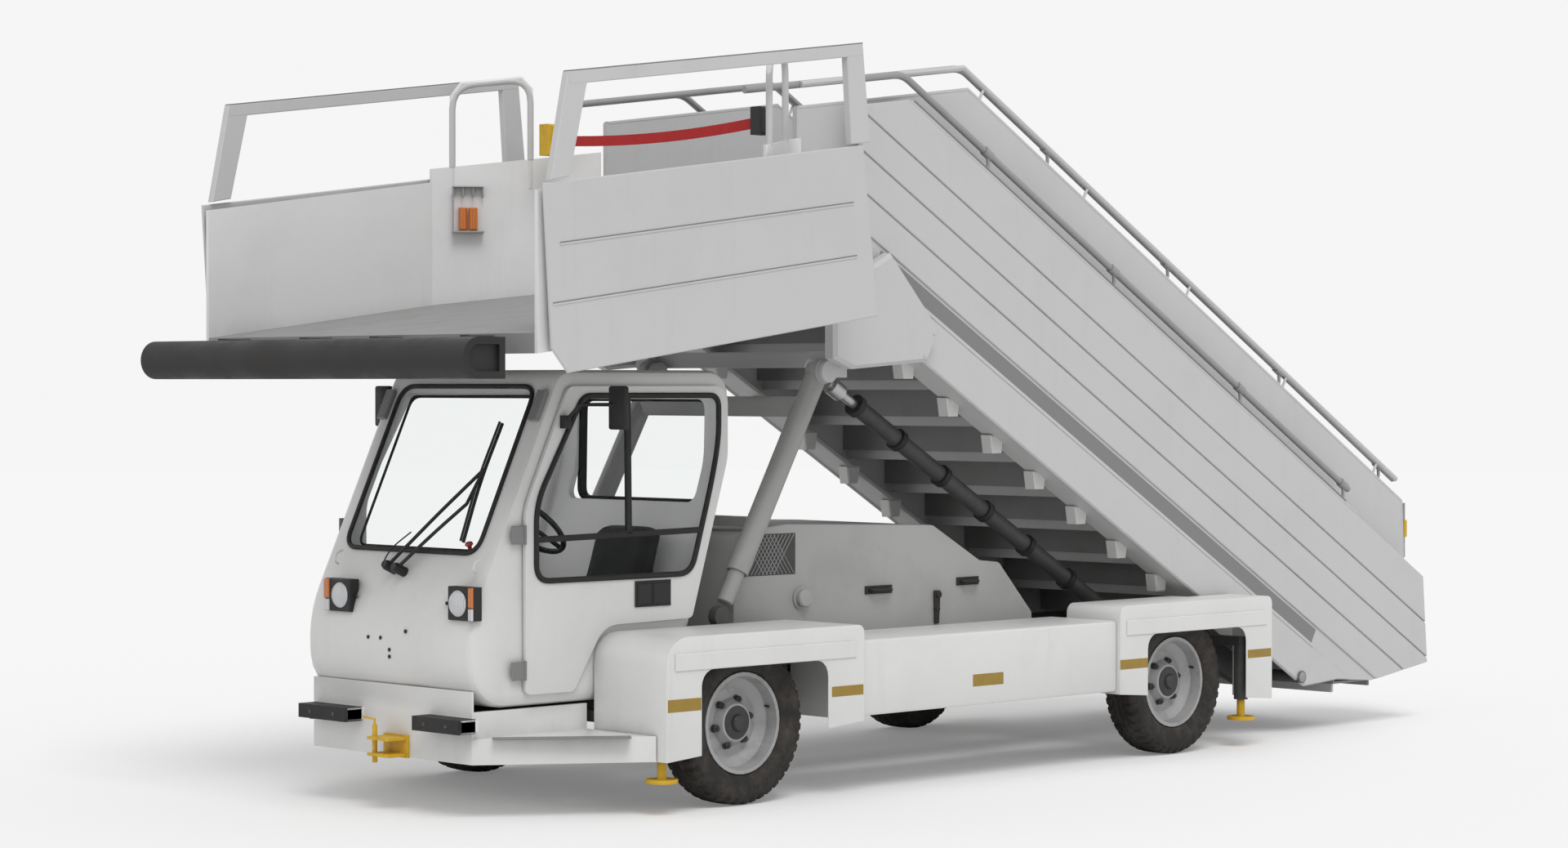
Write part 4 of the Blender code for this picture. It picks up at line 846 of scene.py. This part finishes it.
def bumperShape():
    # a D-shaped rubber fender: flat back, round nose, hollow at its two ends
    depth, high, wall = 0.234, 0.181, 0.032
    middle, back = (1.997 + 2.178) / 2, -1.600
    angle = np.linspace(-np.pi / 2, np.pi / 2, 21)
    nose = [(back - depth + 0.085 - 0.085 * np.cos(a), middle + high / 2 * np.sin(a)) for a in angle]
    outline = np.array(nose + [(back, middle + high / 2), (back, middle - high / 2)])
    inner = moved(outline, wall)
    rows = [(inner, -1.20), (inner, -1.2199), (outline, -1.22), (outline, 1.22), (inner, 1.2199), (inner, 1.20)]
    grid = np.stack([np.column_stack([flat[:, 0], np.full(len(flat), y), flat[:, 1]]) for flat, y in rows])
    return surface(grid)


def beltShape():
    # the strap from its reel to the socket across the platform's way in, with a slight sag
    share = np.linspace(0, 1, 41)
    y = -0.70 + 1.40 * share
    x = 0.40 - 0.07 * share
    z = 3.236 - 0.020 * share - 0.030 * (1 - (2 * share - 1) ** 2)
    return carry(np.column_stack([x, y, z]), barSection(0.052, 0.003, 0.001), flat=(0, 0, 1))


makePiece("bumper_rubber", [bumperShape()], noseRubber, "upper_flight", 50, ("platform_bumper",))
bumperBack = [brick((-1.604, -1.575), (-1.19, 1.19), (2.02, 2.16)),
              brick((-1.58, -1.44), (-0.95, -0.88), (2.10, 2.19)), brick((-1.58, -1.44), (0.88, 0.95), (2.10, 2.19)),
              brick((-1.58, -1.44), (-0.30, -0.23), (2.10, 2.19)), brick((-1.58, -1.44), (0.23, 0.30), (2.10, 2.19))]
makePiece("bumper_carrier", bumperBack, darkPaint, "upper_flight")
makePiece("belt_strap", [beltShape()], beltWeb, "upper_flight", replaces=("gate_belt",))
makePiece("belt_reel", [brick((0.27, 0.37), (0.69, 0.775), (3.14, 3.30), 0.010)], yellowPaint, "upper_flight")
makePiece("belt_socket", [brick((0.36, 0.44), (-0.775, -0.69), (3.175, 3.31), 0.010)], blackPlastic, "upper_flight")


def lampCage(side):
    # two lenses on a shelf with upright bars, worked out flat and set down on the slanting part of the wall
    shapes = [brick((-0.080, 0.080), (0.0, 0.070), (-0.125, -0.115), 0.002),
              brick((-0.080, 0.080), (0.0, 0.050), (0.108, 0.115), 0.002)]
    for u in (-0.076, -0.026, 0.026, 0.076):
        shapes.append(brick((u - 0.004, u + 0.004), (0.0, 0.045), (0.060, 0.112), 0.001))
    shapes.append(brick((-0.082, -0.074), (0.038, 0.046), (-0.12, 0.112), 0.001))
    lenses = [brick((u - 0.022, u + 0.022), (0.0, 0.045), (-0.112, 0.005), 0.008) for u in (-0.026, 0.026)]
    along, inward = np.array((0.819, -side * 0.573, 0)), np.array((-0.573, -side * 0.819, 0))
    place, axes = (0.094, side * 1.128, 2.875), [along, inward, (0, 0, 1)]
    return [laid(shape, place, axes) for shape in shapes], [laid(shape, place, axes) for shape in lenses]


for name, side in sides:
    makePiece(f"{name}_corner_hoop", [hoopShape(side)], panelPaint, "upper_flight")
    shelf, lenses = lampCage(side)
    makePiece(f"{name}_lamp_cage", shelf, railPaint, "upper_flight")
    makePiece(f"{name}_floodlight", lenses, orangeLens, "upper_flight")
print("platform made")

# The cab: gaskets, bars, wiper, lamps, hinges, handles and mirrors.

windscreen = {"centre": np.array((-0.989, 0.0, 1.58)), "up": np.array((0.422, 0.0, 0.9066)),
              "out": np.array((-0.9066, 0.0, 0.422)), "half": 0.50, "length": 0.849}


def onScreen(y, v, lift=0.0):
    return windscreen["centre"] + windscreen["up"] * v + windscreen["out"] * lift + np.array((0, y, 0))


def frameOn(place, half, high, corner, section):
    # a closed rubber frame round an opening: place(y, v) gives its points
    ends = [place(-half, -high), place(half, -high), place(half, high), place(-half, high)]
    return carry(bent(ends, corner, 7, True), section, flat=(1, 0, 0.001), closed=True)


gasket = barSection(0.020, 0.022, 0.006)
screenHalf, screenLength = windscreen["half"], windscreen["length"] / 2
makePiece("windscreen_gasket", [
    frameOn(lambda y, v: onScreen(y, v, 0.004), screenHalf - 0.004, screenLength - 0.004, 0.09, gasket),
    frameOn(lambda y, v: onScreen(y, v, -0.045), screenHalf - 0.035, screenLength - 0.035, 0.06,
            barSection(0.012, 0.014, 0.004))], gasketRubber, "vehicle")

wiperPoints = {"blade": ((-0.372, 0.224), (-0.361, -0.068), (-0.395, -0.374)), "joints": ((-0.38, -0.018), (-0.345, -0.192)),
               "pivots": ((0.055, -0.52), (-0.02, -0.53))}


def wiperShapes():
    # a long thin blade on a stepped carrier, and two arms down to a pivot block under the glass
    blade = [onScreen(y, v, 0.022) for y, v in wiperPoints["blade"]]
    back = [onScreen(y, v, 0.040) for y, v in wiperPoints["blade"]]
    shapes = [tube(blade, 0.008, 0.2, 8, (1, 0, 0)), tube(back, 0.006, 0.2, 8, (1, 0, 0))]
    for (y, v), (py, pv) in zip(wiperPoints["joints"], wiperPoints["pivots"]):
        shapes.append(tube([onScreen(y, v, 0.040), onScreen(y * 0.55 + py * 0.45, v * 0.55 + pv * 0.45, 0.050),
                            onScreen(py, pv, 0.050)], 0.0085, 0.1, 8, (1, 0, 0)))
    shapes.append(tube([onScreen(-0.38, -0.018, 0.040), onScreen(-0.345, -0.192, 0.040)], 0.008, 0.02, 8, (1, 0, 0)))
    for y, v in wiperPoints["pivots"]:
        shapes.append(lathe([(0.001, 0.075), (0.018, 0.075), (0.024, 0.06), (0.024, 0.0)], onScreen(y, v, 0.0),
                            windscreen["out"], 20))
    shapes.append(tube([onScreen(y, v, 0.03) for y, v in ((0.06, -0.53), (0.13, -0.50), (0.10, -0.42), (0.0, -0.34))],
                       0.0035, 0.06, 8, (1, 0, 0)))
    return shapes


makePiece("wiper", wiperShapes(), blackPlastic, "vehicle")


def onNose(z):
    # x of the cab's front face at that height
    return -1.304 if z < 0.90 else -1.304 + (z - 0.90) * 0.30


def headlamps():
    housings, lenses, flashers, white = [], [], [], []
    for low, high, outboard in ((0.274, 0.469, 1), (-0.636, -0.456, -1)):
        y = 0.466 if outboard > 0 else -0.633
        x, near = onNose(0.98), 0.150
        first, last = (low, low + near) if outboard > 0 else (high - near, high)
        housings.append(slab([(low, 0.905), (high, 0.905), (high, 1.058), (low, 1.058)], x - 0.030, x + 0.030, 0.006, "x"))
        middle = (first + last) / 2
        lenses.append(lathe([(0.001, 0.020), (0.030, 0.018), (0.052, 0.010), (0.060, 0.0), (0.060, -0.01)],
                            (x - 0.031, middle, 0.982), (-1, 0, 0), 36))
        flashLow, flashHigh = (last + 0.004, high) if outboard > 0 else (low, first - 0.004)
        flashers.append(slab([(flashLow, 0.965), (flashHigh, 0.965), (flashHigh, 1.056), (flashLow, 1.056)],
                             x - 0.038, x - 0.02, 0.005, "x"))
        white.append(slab([(flashLow, 0.907), (flashHigh, 0.907), (flashHigh, 0.961), (flashLow, 0.961)],
                          x - 0.038, x - 0.02, 0.005, "x"))
    return housings, lenses, flashers, white


housings, lenses, flashers, white = headlamps()
makePiece("headlamp_housings", housings, blackPlastic, "vehicle")
makePiece("headlamp_lenses", lenses, clearLens, "vehicle")
makePiece("front_flashers", flashers, orangeLens, "vehicle")
makePiece("front_position_lamps", white, clearLens, "vehicle")

screwHead = [(0.001, 0.004), (0.006, 0.004), (0.009, 0.002), (0.009, -0.003)]
noseScrews = [(0.136, 0.796), (0.043, 0.797), (-0.144, 0.836), (-0.024, 0.745), (-0.024, 0.713), (-0.42, 0.977),
              (0.258, 0.978)]
makePiece("nose_screws", [lathe(screwHead, (onNose(z) - 0.003, y, z), (-1, 0, 0), 12) for y, z in noseScrews],
          blackPlastic, "vehicle")
noseHooks = [tube([(onNose(z) + 0.01, y, z + 0.035), (onNose(z) - 0.03, y, z + 0.02), (onNose(z) - 0.035, y, z - 0.02),
                   (onNose(z) + 0.0, y + 0.02, z - 0.03)], 0.005, 0.02, 8, (0, 1, 0))
             for y, z in ((0.449, 1.152), (-0.586, 1.148))]
makePiece("nose_hooks", noseHooks, whitePaint, "vehicle")
postClips = [laid(brick((-0.012, 0.012), (-0.030, 0.030), (-0.075, 0.075)), onScreen(side * 0.565, 0.32, 0.012),
                  [windscreen["out"], (0, 1, 0), windscreen["up"]]) for side in (-1, 1)]
makePiece("post_clips", postClips, darkGreyAndShade, "vehicle")
buffers = [brick((-1.388, -1.286), (0.20, 0.58), (0.398, 0.464), 0.010),
           brick((-1.388, -1.286), (-0.64, -0.285), (0.398, 0.464), 0.010)]
makePiece("buffer_blocks", buffers, blackRubber, "vehicle")
bufferBolts = [lathe([(0.001, 0.002), (0.008, 0.002), (0.010, 0.0), (0.010, -0.004)], (-1.389, y, 0.43), (-1, 0, 0), 12)
               for y in (0.30, 0.48, -0.38, -0.54)]
makePiece("buffer_bolts", bufferBolts, darkPaint, "vehicle")

doorWindow = [(0.02, 1.072, 0.08), (-0.944, 1.072, 0.08), (-0.944, 1.43, 0.10), (-0.66, 1.92, 0.05),
              (0.20, 1.92, 0.06), (0.20, 1.66, 0.3)]


def cornered(outline, y, count=6):
    # the outline's corners rounded by each one's own radius
    flat = np.array([(x, z) for x, z, _ in outline])
    points = []
    for index, (x, z, radius) in enumerate(outline):
        corner, back, on = flat[index], flat[index - 1], flat[(index + 1) % len(flat)]
        near = min(radius, 0.45 * np.linalg.norm(corner - back))
        far = min(radius, 0.45 * np.linalg.norm(on - corner))
        t = np.linspace(0, 1, count + 1)[:, None]
        start, end = corner + unit(back - corner) * near, corner + unit(on - corner) * far
        points.append((1 - t) ** 2 * start + 2 * t * (1 - t) * corner + t ** 2 * end)
    points = np.concatenate(points)
    return np.column_stack([points[:, 0], np.full(len(points), y), points[:, 1]])


doorY = 0.646


def doorTrim(side):
    # the window's rubber, with a level and an upright bar on the driver's side
    y = side * (doorY + 0.002)
    shapes = [carry(cornered(doorWindow, y), barSection(0.022, 0.026, 0.006), (0, 1, 0), True)]
    if side > 0:
        return shapes
    shapes.append(carry([(-0.944, y, 1.262), (0.085, y, 1.278)], barSection(0.020, 0.028, 0.004)))
    shapes.append(carry([(-0.388, y, 1.925), (-0.380, y, 1.275)], barSection(0.020, 0.034, 0.004)))
    return shapes


def doorHandle(side):
    # a moulded tray with a flap that leaves a dark finger gap
    y = side * doorY
    return [slab([(-0.341, 0.926), (-0.115, 0.926), (-0.115, 1.049), (-0.341, 1.049)], y, y + side * 0.010, 0.004),
            slab([(-0.331, 0.936), (-0.245, 0.936), (-0.245, 1.039), (-0.331, 1.039)], y, y + side * 0.018, 0.006),
            slab([(-0.235, 0.936), (-0.125, 0.936), (-0.125, 1.039), (-0.235, 1.039)], y, y + side * 0.018, 0.006)]


def doorHinges(side):
    y = side * (doorY - 0.004)
    shapes = []
    for z in (1.287, 0.668):
        shapes.append(slab([(-1.090, z - 0.042), (-1.004, z - 0.042), (-1.004, z + 0.042), (-1.090, z + 0.042)], y,
                           y + side * 0.009, 0.003))
        shapes.append(tube([(-1.012, y + side * 0.008, z - 0.044), (-1.012, y + side * 0.008, z + 0.044)], 0.0075,
                           count=12, flat=(1, 0, 0)))
    return shapes


mirror = {"x": -0.6255, "y": (0.828, 0.922), "z": (1.775, 1.955)}


def mirrorGlass(side):
    (y0, y1), (z0, z1) = mirror["y"], mirror["z"]
    return slab([(side * y0, z0), (side * y1, z0), (side * y1, z1), (side * y0, z1)], mirror["x"],
                mirror["x"] + 0.002, 0.0005, "x")


for name, side in sides:
    body = bodyOf[f"{name}_door"]
    makePiece(f"{name}_door_gasket", doorTrim(side), gasketRubber, body)
    makePiece(f"{name}_door_handle", doorHandle(side), blackPlastic, body)
    makePiece(f"{name}_door_hinges", doorHinges(side), darkGreyAndShade, "vehicle")
    makePiece(f"{name}_mirror_glass", [mirrorGlass(side)], platedSteel, body)

rearFrame = [(0.300, -0.47, 1.40), (0.300, 0.47, 1.40), (0.310, 0.47, 1.90), (0.310, -0.47, 1.90)]
makePiece("rear_window_gasket", [carry(bent(rearFrame, 0.06, 6, True), barSection(0.050, 0.024, 0.005), (1, 0, 0),
                                       True)], gasketRubber, "vehicle")
makePiece("dash_knob", [lathe([(0.001, 0.030), (0.016, 0.026), (0.020, 0.014), (0.010, 0.006), (0.008, -0.05)],
                              (-1.10, -0.36, 1.222), (-0.3, 0, 1), 20)], redKnob, "vehicle")
print("cab made")

# Marks, screws, step grips and the parts on the hood.

def plateOn(x0, x1, z0, z1, y0, y1):
    return slab([(x0, z0), (x1, z0), (x1, z1), (x0, z1)], y0, y1, 0.0008)


tapePlaces = [(-0.580, -0.372, 0.479, 0.537, 1.140), (0.477, 0.691, 0.484, 0.533, 1.140), (1.489, 1.715, 0.470, 0.530, 1.121),
              (2.600, 2.823, 0.490, 0.540, 1.140), (3.666, 3.870, 0.490, 0.535, 1.140)]
lipScrews = (-0.405, 0.537, 2.778, 3.713)


def stepGrip(side):
    # a punched grip strip along the cab step's slanting edge
    start, end = np.array((-1.209, side * 0.655, 0.372)), np.array((-0.711, side * 1.035, 0.372))
    return [carry([start, end], barSection(0.085, 0.006, 0.002), flat=(0.6, -side * 0.8, 0))]


def stepDots(side):
    start, end = np.array((-1.19, side * 0.672, 0.344)), np.array((-0.73, side * 1.022, 0.344))
    out = unit(np.array((-(end - start)[1] * side, (end - start)[0] * side, 0.0)))
    return [lathe([(0.001, 0.001), (0.0035, 0.001), (0.0035, -0.002)],
                  start + (end - start) * k / 27 + out * 0.014 * side, out * side, 6) for k in range(28)]


for name, side in sides:
    tapes = [plateOn(x0, x1, z0, z1, side * (y - 0.002), side * (y + 0.0012)) for x0, x1, z0, z1, y in tapePlaces]
    makePiece(f"{name}_tapes", tapes, ochreTape, "vehicle")
    screws = [lathe(screwHead, (x, side * 1.1405, 0.705), (0, side, 0), 12) for x in lipScrews]
    makePiece(f"{name}_lip_screws", screws, darkPaint, "vehicle")
    lips = [slab([(x0, 0.664), (x1, 0.664), (x1, 0.745), (x0, 0.745)], side * 1.139, side * 1.1465, 0.004)
            for x0, x1 in ((-0.535, 0.64), (2.65, 3.83))]
    makePiece(f"{name}_fender_lips", lips, whitePaint, "vehicle")
    makePiece(f"{name}_step_grip", stepGrip(side), darkGreyAndShade, "vehicle")


def meshGrille(side):
    # a panel of thin crossed bars over a dark sheet, which is painted shade for the dark space seen through the mesh
    y = side * 0.503
    back = plateOn(0.50, 0.86, 1.03, 1.235, side * 0.497, side * 0.5015)
    bars = []
    for k in range(-5, 15):
        x = 0.50 + k * 0.026
        for lean in (1, -1):
            first, last = (x, 1.035), (x + 0.14, 1.230)
            if lean < 0:
                first, last = (x + 0.14, 1.035), (x, 1.230)
            if min(first[0], last[0]) > 0.495 and max(first[0], last[0]) < 0.865:
                bars.append(carry([(first[0], y, first[1]), (last[0], y, last[1])], barSection(0.003, 0.004, 0.001)))
    return back, bars


def grabHandle(x0, x1, z, side):
    y = side * 0.500
    return [slab([(x0, z - 0.020), (x1, z - 0.020), (x1, z + 0.022), (x0, z + 0.022)], y, y + side * 0.008, 0.004),
            tube([(x0 + 0.03, y, z), (x0 + 0.035, y + side * 0.038, z), (x1 - 0.035, y + side * 0.038, z),
                  (x1 - 0.03, y, z)], 0.010, 0.02, 10, (0, 0, 1))]


for name, side in sides:
    back, bars = meshGrille(side)
    # the grille's dark sheet is painted shade behind the mesh
    makePiece(f"{name}_grille_shade_sheet", [back], darkPaint, "vehicle")
    makePiece(f"{name}_grille_bars", bars, railPaint, "vehicle")
    handles = grabHandle(1.353, 1.551, 0.927, side) + grabHandle(2.035, 2.205, 0.945, side)
    makePiece(f"{name}_hood_handles", handles, blackPlastic, "vehicle")
    y = side * 0.500
    latch = [slab([(1.865, 0.735), (1.895, 0.735), (1.905, 0.905), (1.862, 0.905)], y, y + side * 0.016, 0.005),
             lathe([(0.001, 0.026), (0.018, 0.024), (0.020, 0.0)], (1.884, y, 0.885), (0, side, 0), 16),
             lathe([(0.001, 0.022), (0.014, 0.020), (0.016, 0.0)], (1.880, y, 0.810), (0, side, 0), 16)]
    makePiece(f"{name}_hood_latch", latch, blackRubber, "vehicle")
    cap = [lathe([(0.001, 0.045), (0.038, 0.043), (0.045, 0.036), (0.045, 0.012), (0.056, 0.010), (0.056, -0.003)],
                 (0.897, y, 0.909), (0, side, 0), 24)]
    makePiece(f"{name}_filler_cap", cap, hoodPaint, "vehicle")
print("marks and hood parts made")

# The lift: caps and bands.

extension = {"t": -0.285, "y": -0.50, "bands": (1.30, 1.68, 2.06, 2.44, 2.82, 3.20, 3.55)}
bands = [carry([onSlope(s, extension["t"], extension["y"]), onSlope(s + 0.035, extension["t"], extension["y"])],
               ring(0.058, 20)) for s in extension["bands"]]
bandBody = bodyOf["extension_cylinder"]
makePiece("cylinder_bands", bands, blackRubber, bandBody)
for name, side in sides:
    ringCap = [lathe([(0.001, 0.040), (0.022, 0.040), (0.030, 0.030), (0.055, 0.028), (0.062, 0.020), (0.062, -0.02)],
                     (0.912, side * 0.632, 2.036), (0, side, 0), 28)]
    makePiece(f"{name}_ring_cap", ringCap, liftPaint, bodyOf["lift_frame"])
print("lift made")


def treadRibs(node):
    # grip ribs, a nosing and a folded lip underneath for every tread, read off the steps' own level faces
    mesh = frame["nodes"][node].data
    matrix = np.array(frame["nodes"][node].matrix_world)
    points = np.array([v.co[:] for v in mesh.vertices]) @ matrix[:3, :3].T + matrix[:3, 3]
    levels = {}
    for polygon in mesh.polygons:
        corners = points[list(polygon.vertices)]
        if np.ptp(corners[:, 2]) < 0.0005 and polygon.normal.z > 0.9:
            key = round(float(corners[0, 2]), 3)
            low, high = levels.get(key, (9.0, -9.0))
            levels[key] = (min(low, corners[:, 0].min()), max(high, corners[:, 0].max()))
    half = float(np.abs(points[:, 1]).max()) - 0.02
    ribs, noses, lips = [], [], []
    for z, (low, high) in levels.items():
        if high - low < 0.15:
            continue
        low, high = low - axleX, high - axleX
        for k in range(9):
            x = high - 0.06 - k * 0.026
            if x > low + 0.03:
                ribs.append(brick((x - 0.004, x + 0.004), (-half, half), (z - 0.002, z + 0.003), 0.001))
        noses.append(brick((high - 0.040, high + 0.004), (-half, half), (z - 0.006, z + 0.005), 0.002))
        lips.append(brick((low + 0.002, low + 0.020), (-half, half), (z - 0.062, z - 0.008), 0.004))
    return ribs, noses, lips


for node, body in (("lower_flight_steps", "lower_flight"), ("upper_flight_steps", "upper_flight")):
    ribs, noses, lips = treadRibs(node)
    makePiece(f"{node}_ribs", ribs, railPaint, body)
    makePiece(f"{node}_noses", noses, darkPaint, body)
    if body == "lower_flight":
        makePiece("tread_lips", lips, panelPaint, body)
print("treads made")

def coverShape(side):
    # a boxed plate on the lower flight's head, with two bolts near its foot
    outline = [(1.452, 2.245), (1.360, 2.085), (0.835, 2.047), (0.700, 2.098), (0.700, 2.42), (1.10, 2.62)]
    bolts = [lathe(screwHead, (x, side * 0.9405, z), (0, side, 0), 12) for x, z in ((1.40, 2.225), (1.33, 2.115))]
    return [slab(outline, side * 0.852, side * 0.940, 0.018)] + bolts


for name, side in sides:
    makePiece(f"{name}_head_cover", coverShape(side), panelPaint, "lower_flight")


def padShape(outline, y0, y1, crown):
    # a cushion: an outline in (x, z) shrunk towards both sides, with its middle swollen by crown
    outline = np.asarray(outline, float)
    share = np.linspace(-1, 1, 15)
    middle = outline.mean(axis=0)
    rows = []
    for t in share:
        shrink = 1 - 0.16 * abs(t) ** 6
        swell = crown * (1 - t * t)
        spread = unit(outline - middle) * swell
        flat = middle + (outline - middle) * shrink + spread
        rows.append(np.column_stack([flat[:, 0], np.full(len(flat), (y0 + y1) / 2 + t * (y1 - y0) / 2), flat[:, 1]]))
    return surface(np.stack(rows))


def swollen(piece, cap):
    # pressure from inside fills the pad; a point moves no further than cap
    bpy.context.view_layer.objects.active = piece
    piece.select_set(True)
    remesh = piece.modifiers.new("remesh", "REMESH")
    remesh.mode = "VOXEL"
    remesh.voxel_size = 0.008
    bpy.ops.object.modifier_apply(modifier="remesh")
    before = np.empty(len(piece.data.vertices) * 3)
    piece.data.vertices.foreach_get("co", before)
    cloth = piece.modifiers.new("cloth", "CLOTH")
    cloth.settings.use_pressure = True
    cloth.settings.uniform_pressure_force = 4.0
    cloth.settings.effector_weights.gravity = 0.0
    scene = bpy.context.scene
    for step in range(1, 21):
        scene.frame_set(step)
    bpy.ops.object.modifier_apply(modifier="cloth")
    after = np.empty_like(before)
    piece.data.vertices.foreach_get("co", after)
    shift = (after - before).reshape(-1, 3)
    length = np.linalg.norm(shift, axis=1, keepdims=True)
    shift *= np.minimum(length, cap) / np.maximum(length, 1e-9)
    piece.data.vertices.foreach_set("co", (before.reshape(-1, 3) + shift).ravel())
    piece.data.update()
    scene.frame_set(1)
    piece.select_set(False)


def seatPads():
    cushionLow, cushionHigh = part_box("seat_cushion")
    backLow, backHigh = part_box("seat_back")
    x0, x1 = cushionLow.x - axleX, cushionHigh.x - axleX
    z0, z1 = cushionLow.z, cushionHigh.z
    side0, side1 = cushionLow.y + 0.010, cushionHigh.y - 0.010
    seat = bent([(x0 + 0.012, 0, z0 + 0.004), (x1 - 0.012, 0, z0 + 0.004), (x1 - 0.012, 0, z1 - 0.010),
                 (x0 + 0.012, 0, z1 - 0.016)], 0.045, 6, True)[:, [0, 2]]
    back = bent([(-0.132, 0, 0.925), (-0.030, 0, 0.925), (0.072, 0, 1.290), (-0.008, 0, 1.290)], 0.040, 6,
                True)[:, [0, 2]]
    middle, half = (backLow.y + backHigh.y) / 2, (backHigh.y - backLow.y) / 2 - 0.014
    pads = {"seat_pad": (padShape(seat, side0, side1, 0.004), "seat_cushion"),
            "back_pad": (padShape(back, middle - half, middle + half, 0.003), "seat_back")}
    for name, (shape, node) in pads.items():
        piece = makePiece(name, [shape], seatCloth, "vehicle", 60, (node,))
        swollen(piece, 0.008)
        piece.data.polygons.foreach_set("use_smooth", np.ones(len(piece.data.polygons), bool))
        smooth = piece.modifiers.new("smooth", "SUBSURF")
        smooth.levels = smooth.render_levels = 1
    # a welt cord round the back pad's front
    front = [(-0.116, middle - half + 0.02, 0.96), (-0.006, middle - half + 0.03, 1.272),
             (-0.006, middle + half - 0.03, 1.272), (-0.116, middle + half - 0.02, 0.96)]
    makePiece("back_welt", [tube(front, 0.0035, 0.04, 8, (1, 0, 0))], gasketRubber, "vehicle")


seatPads()
print("seat made")
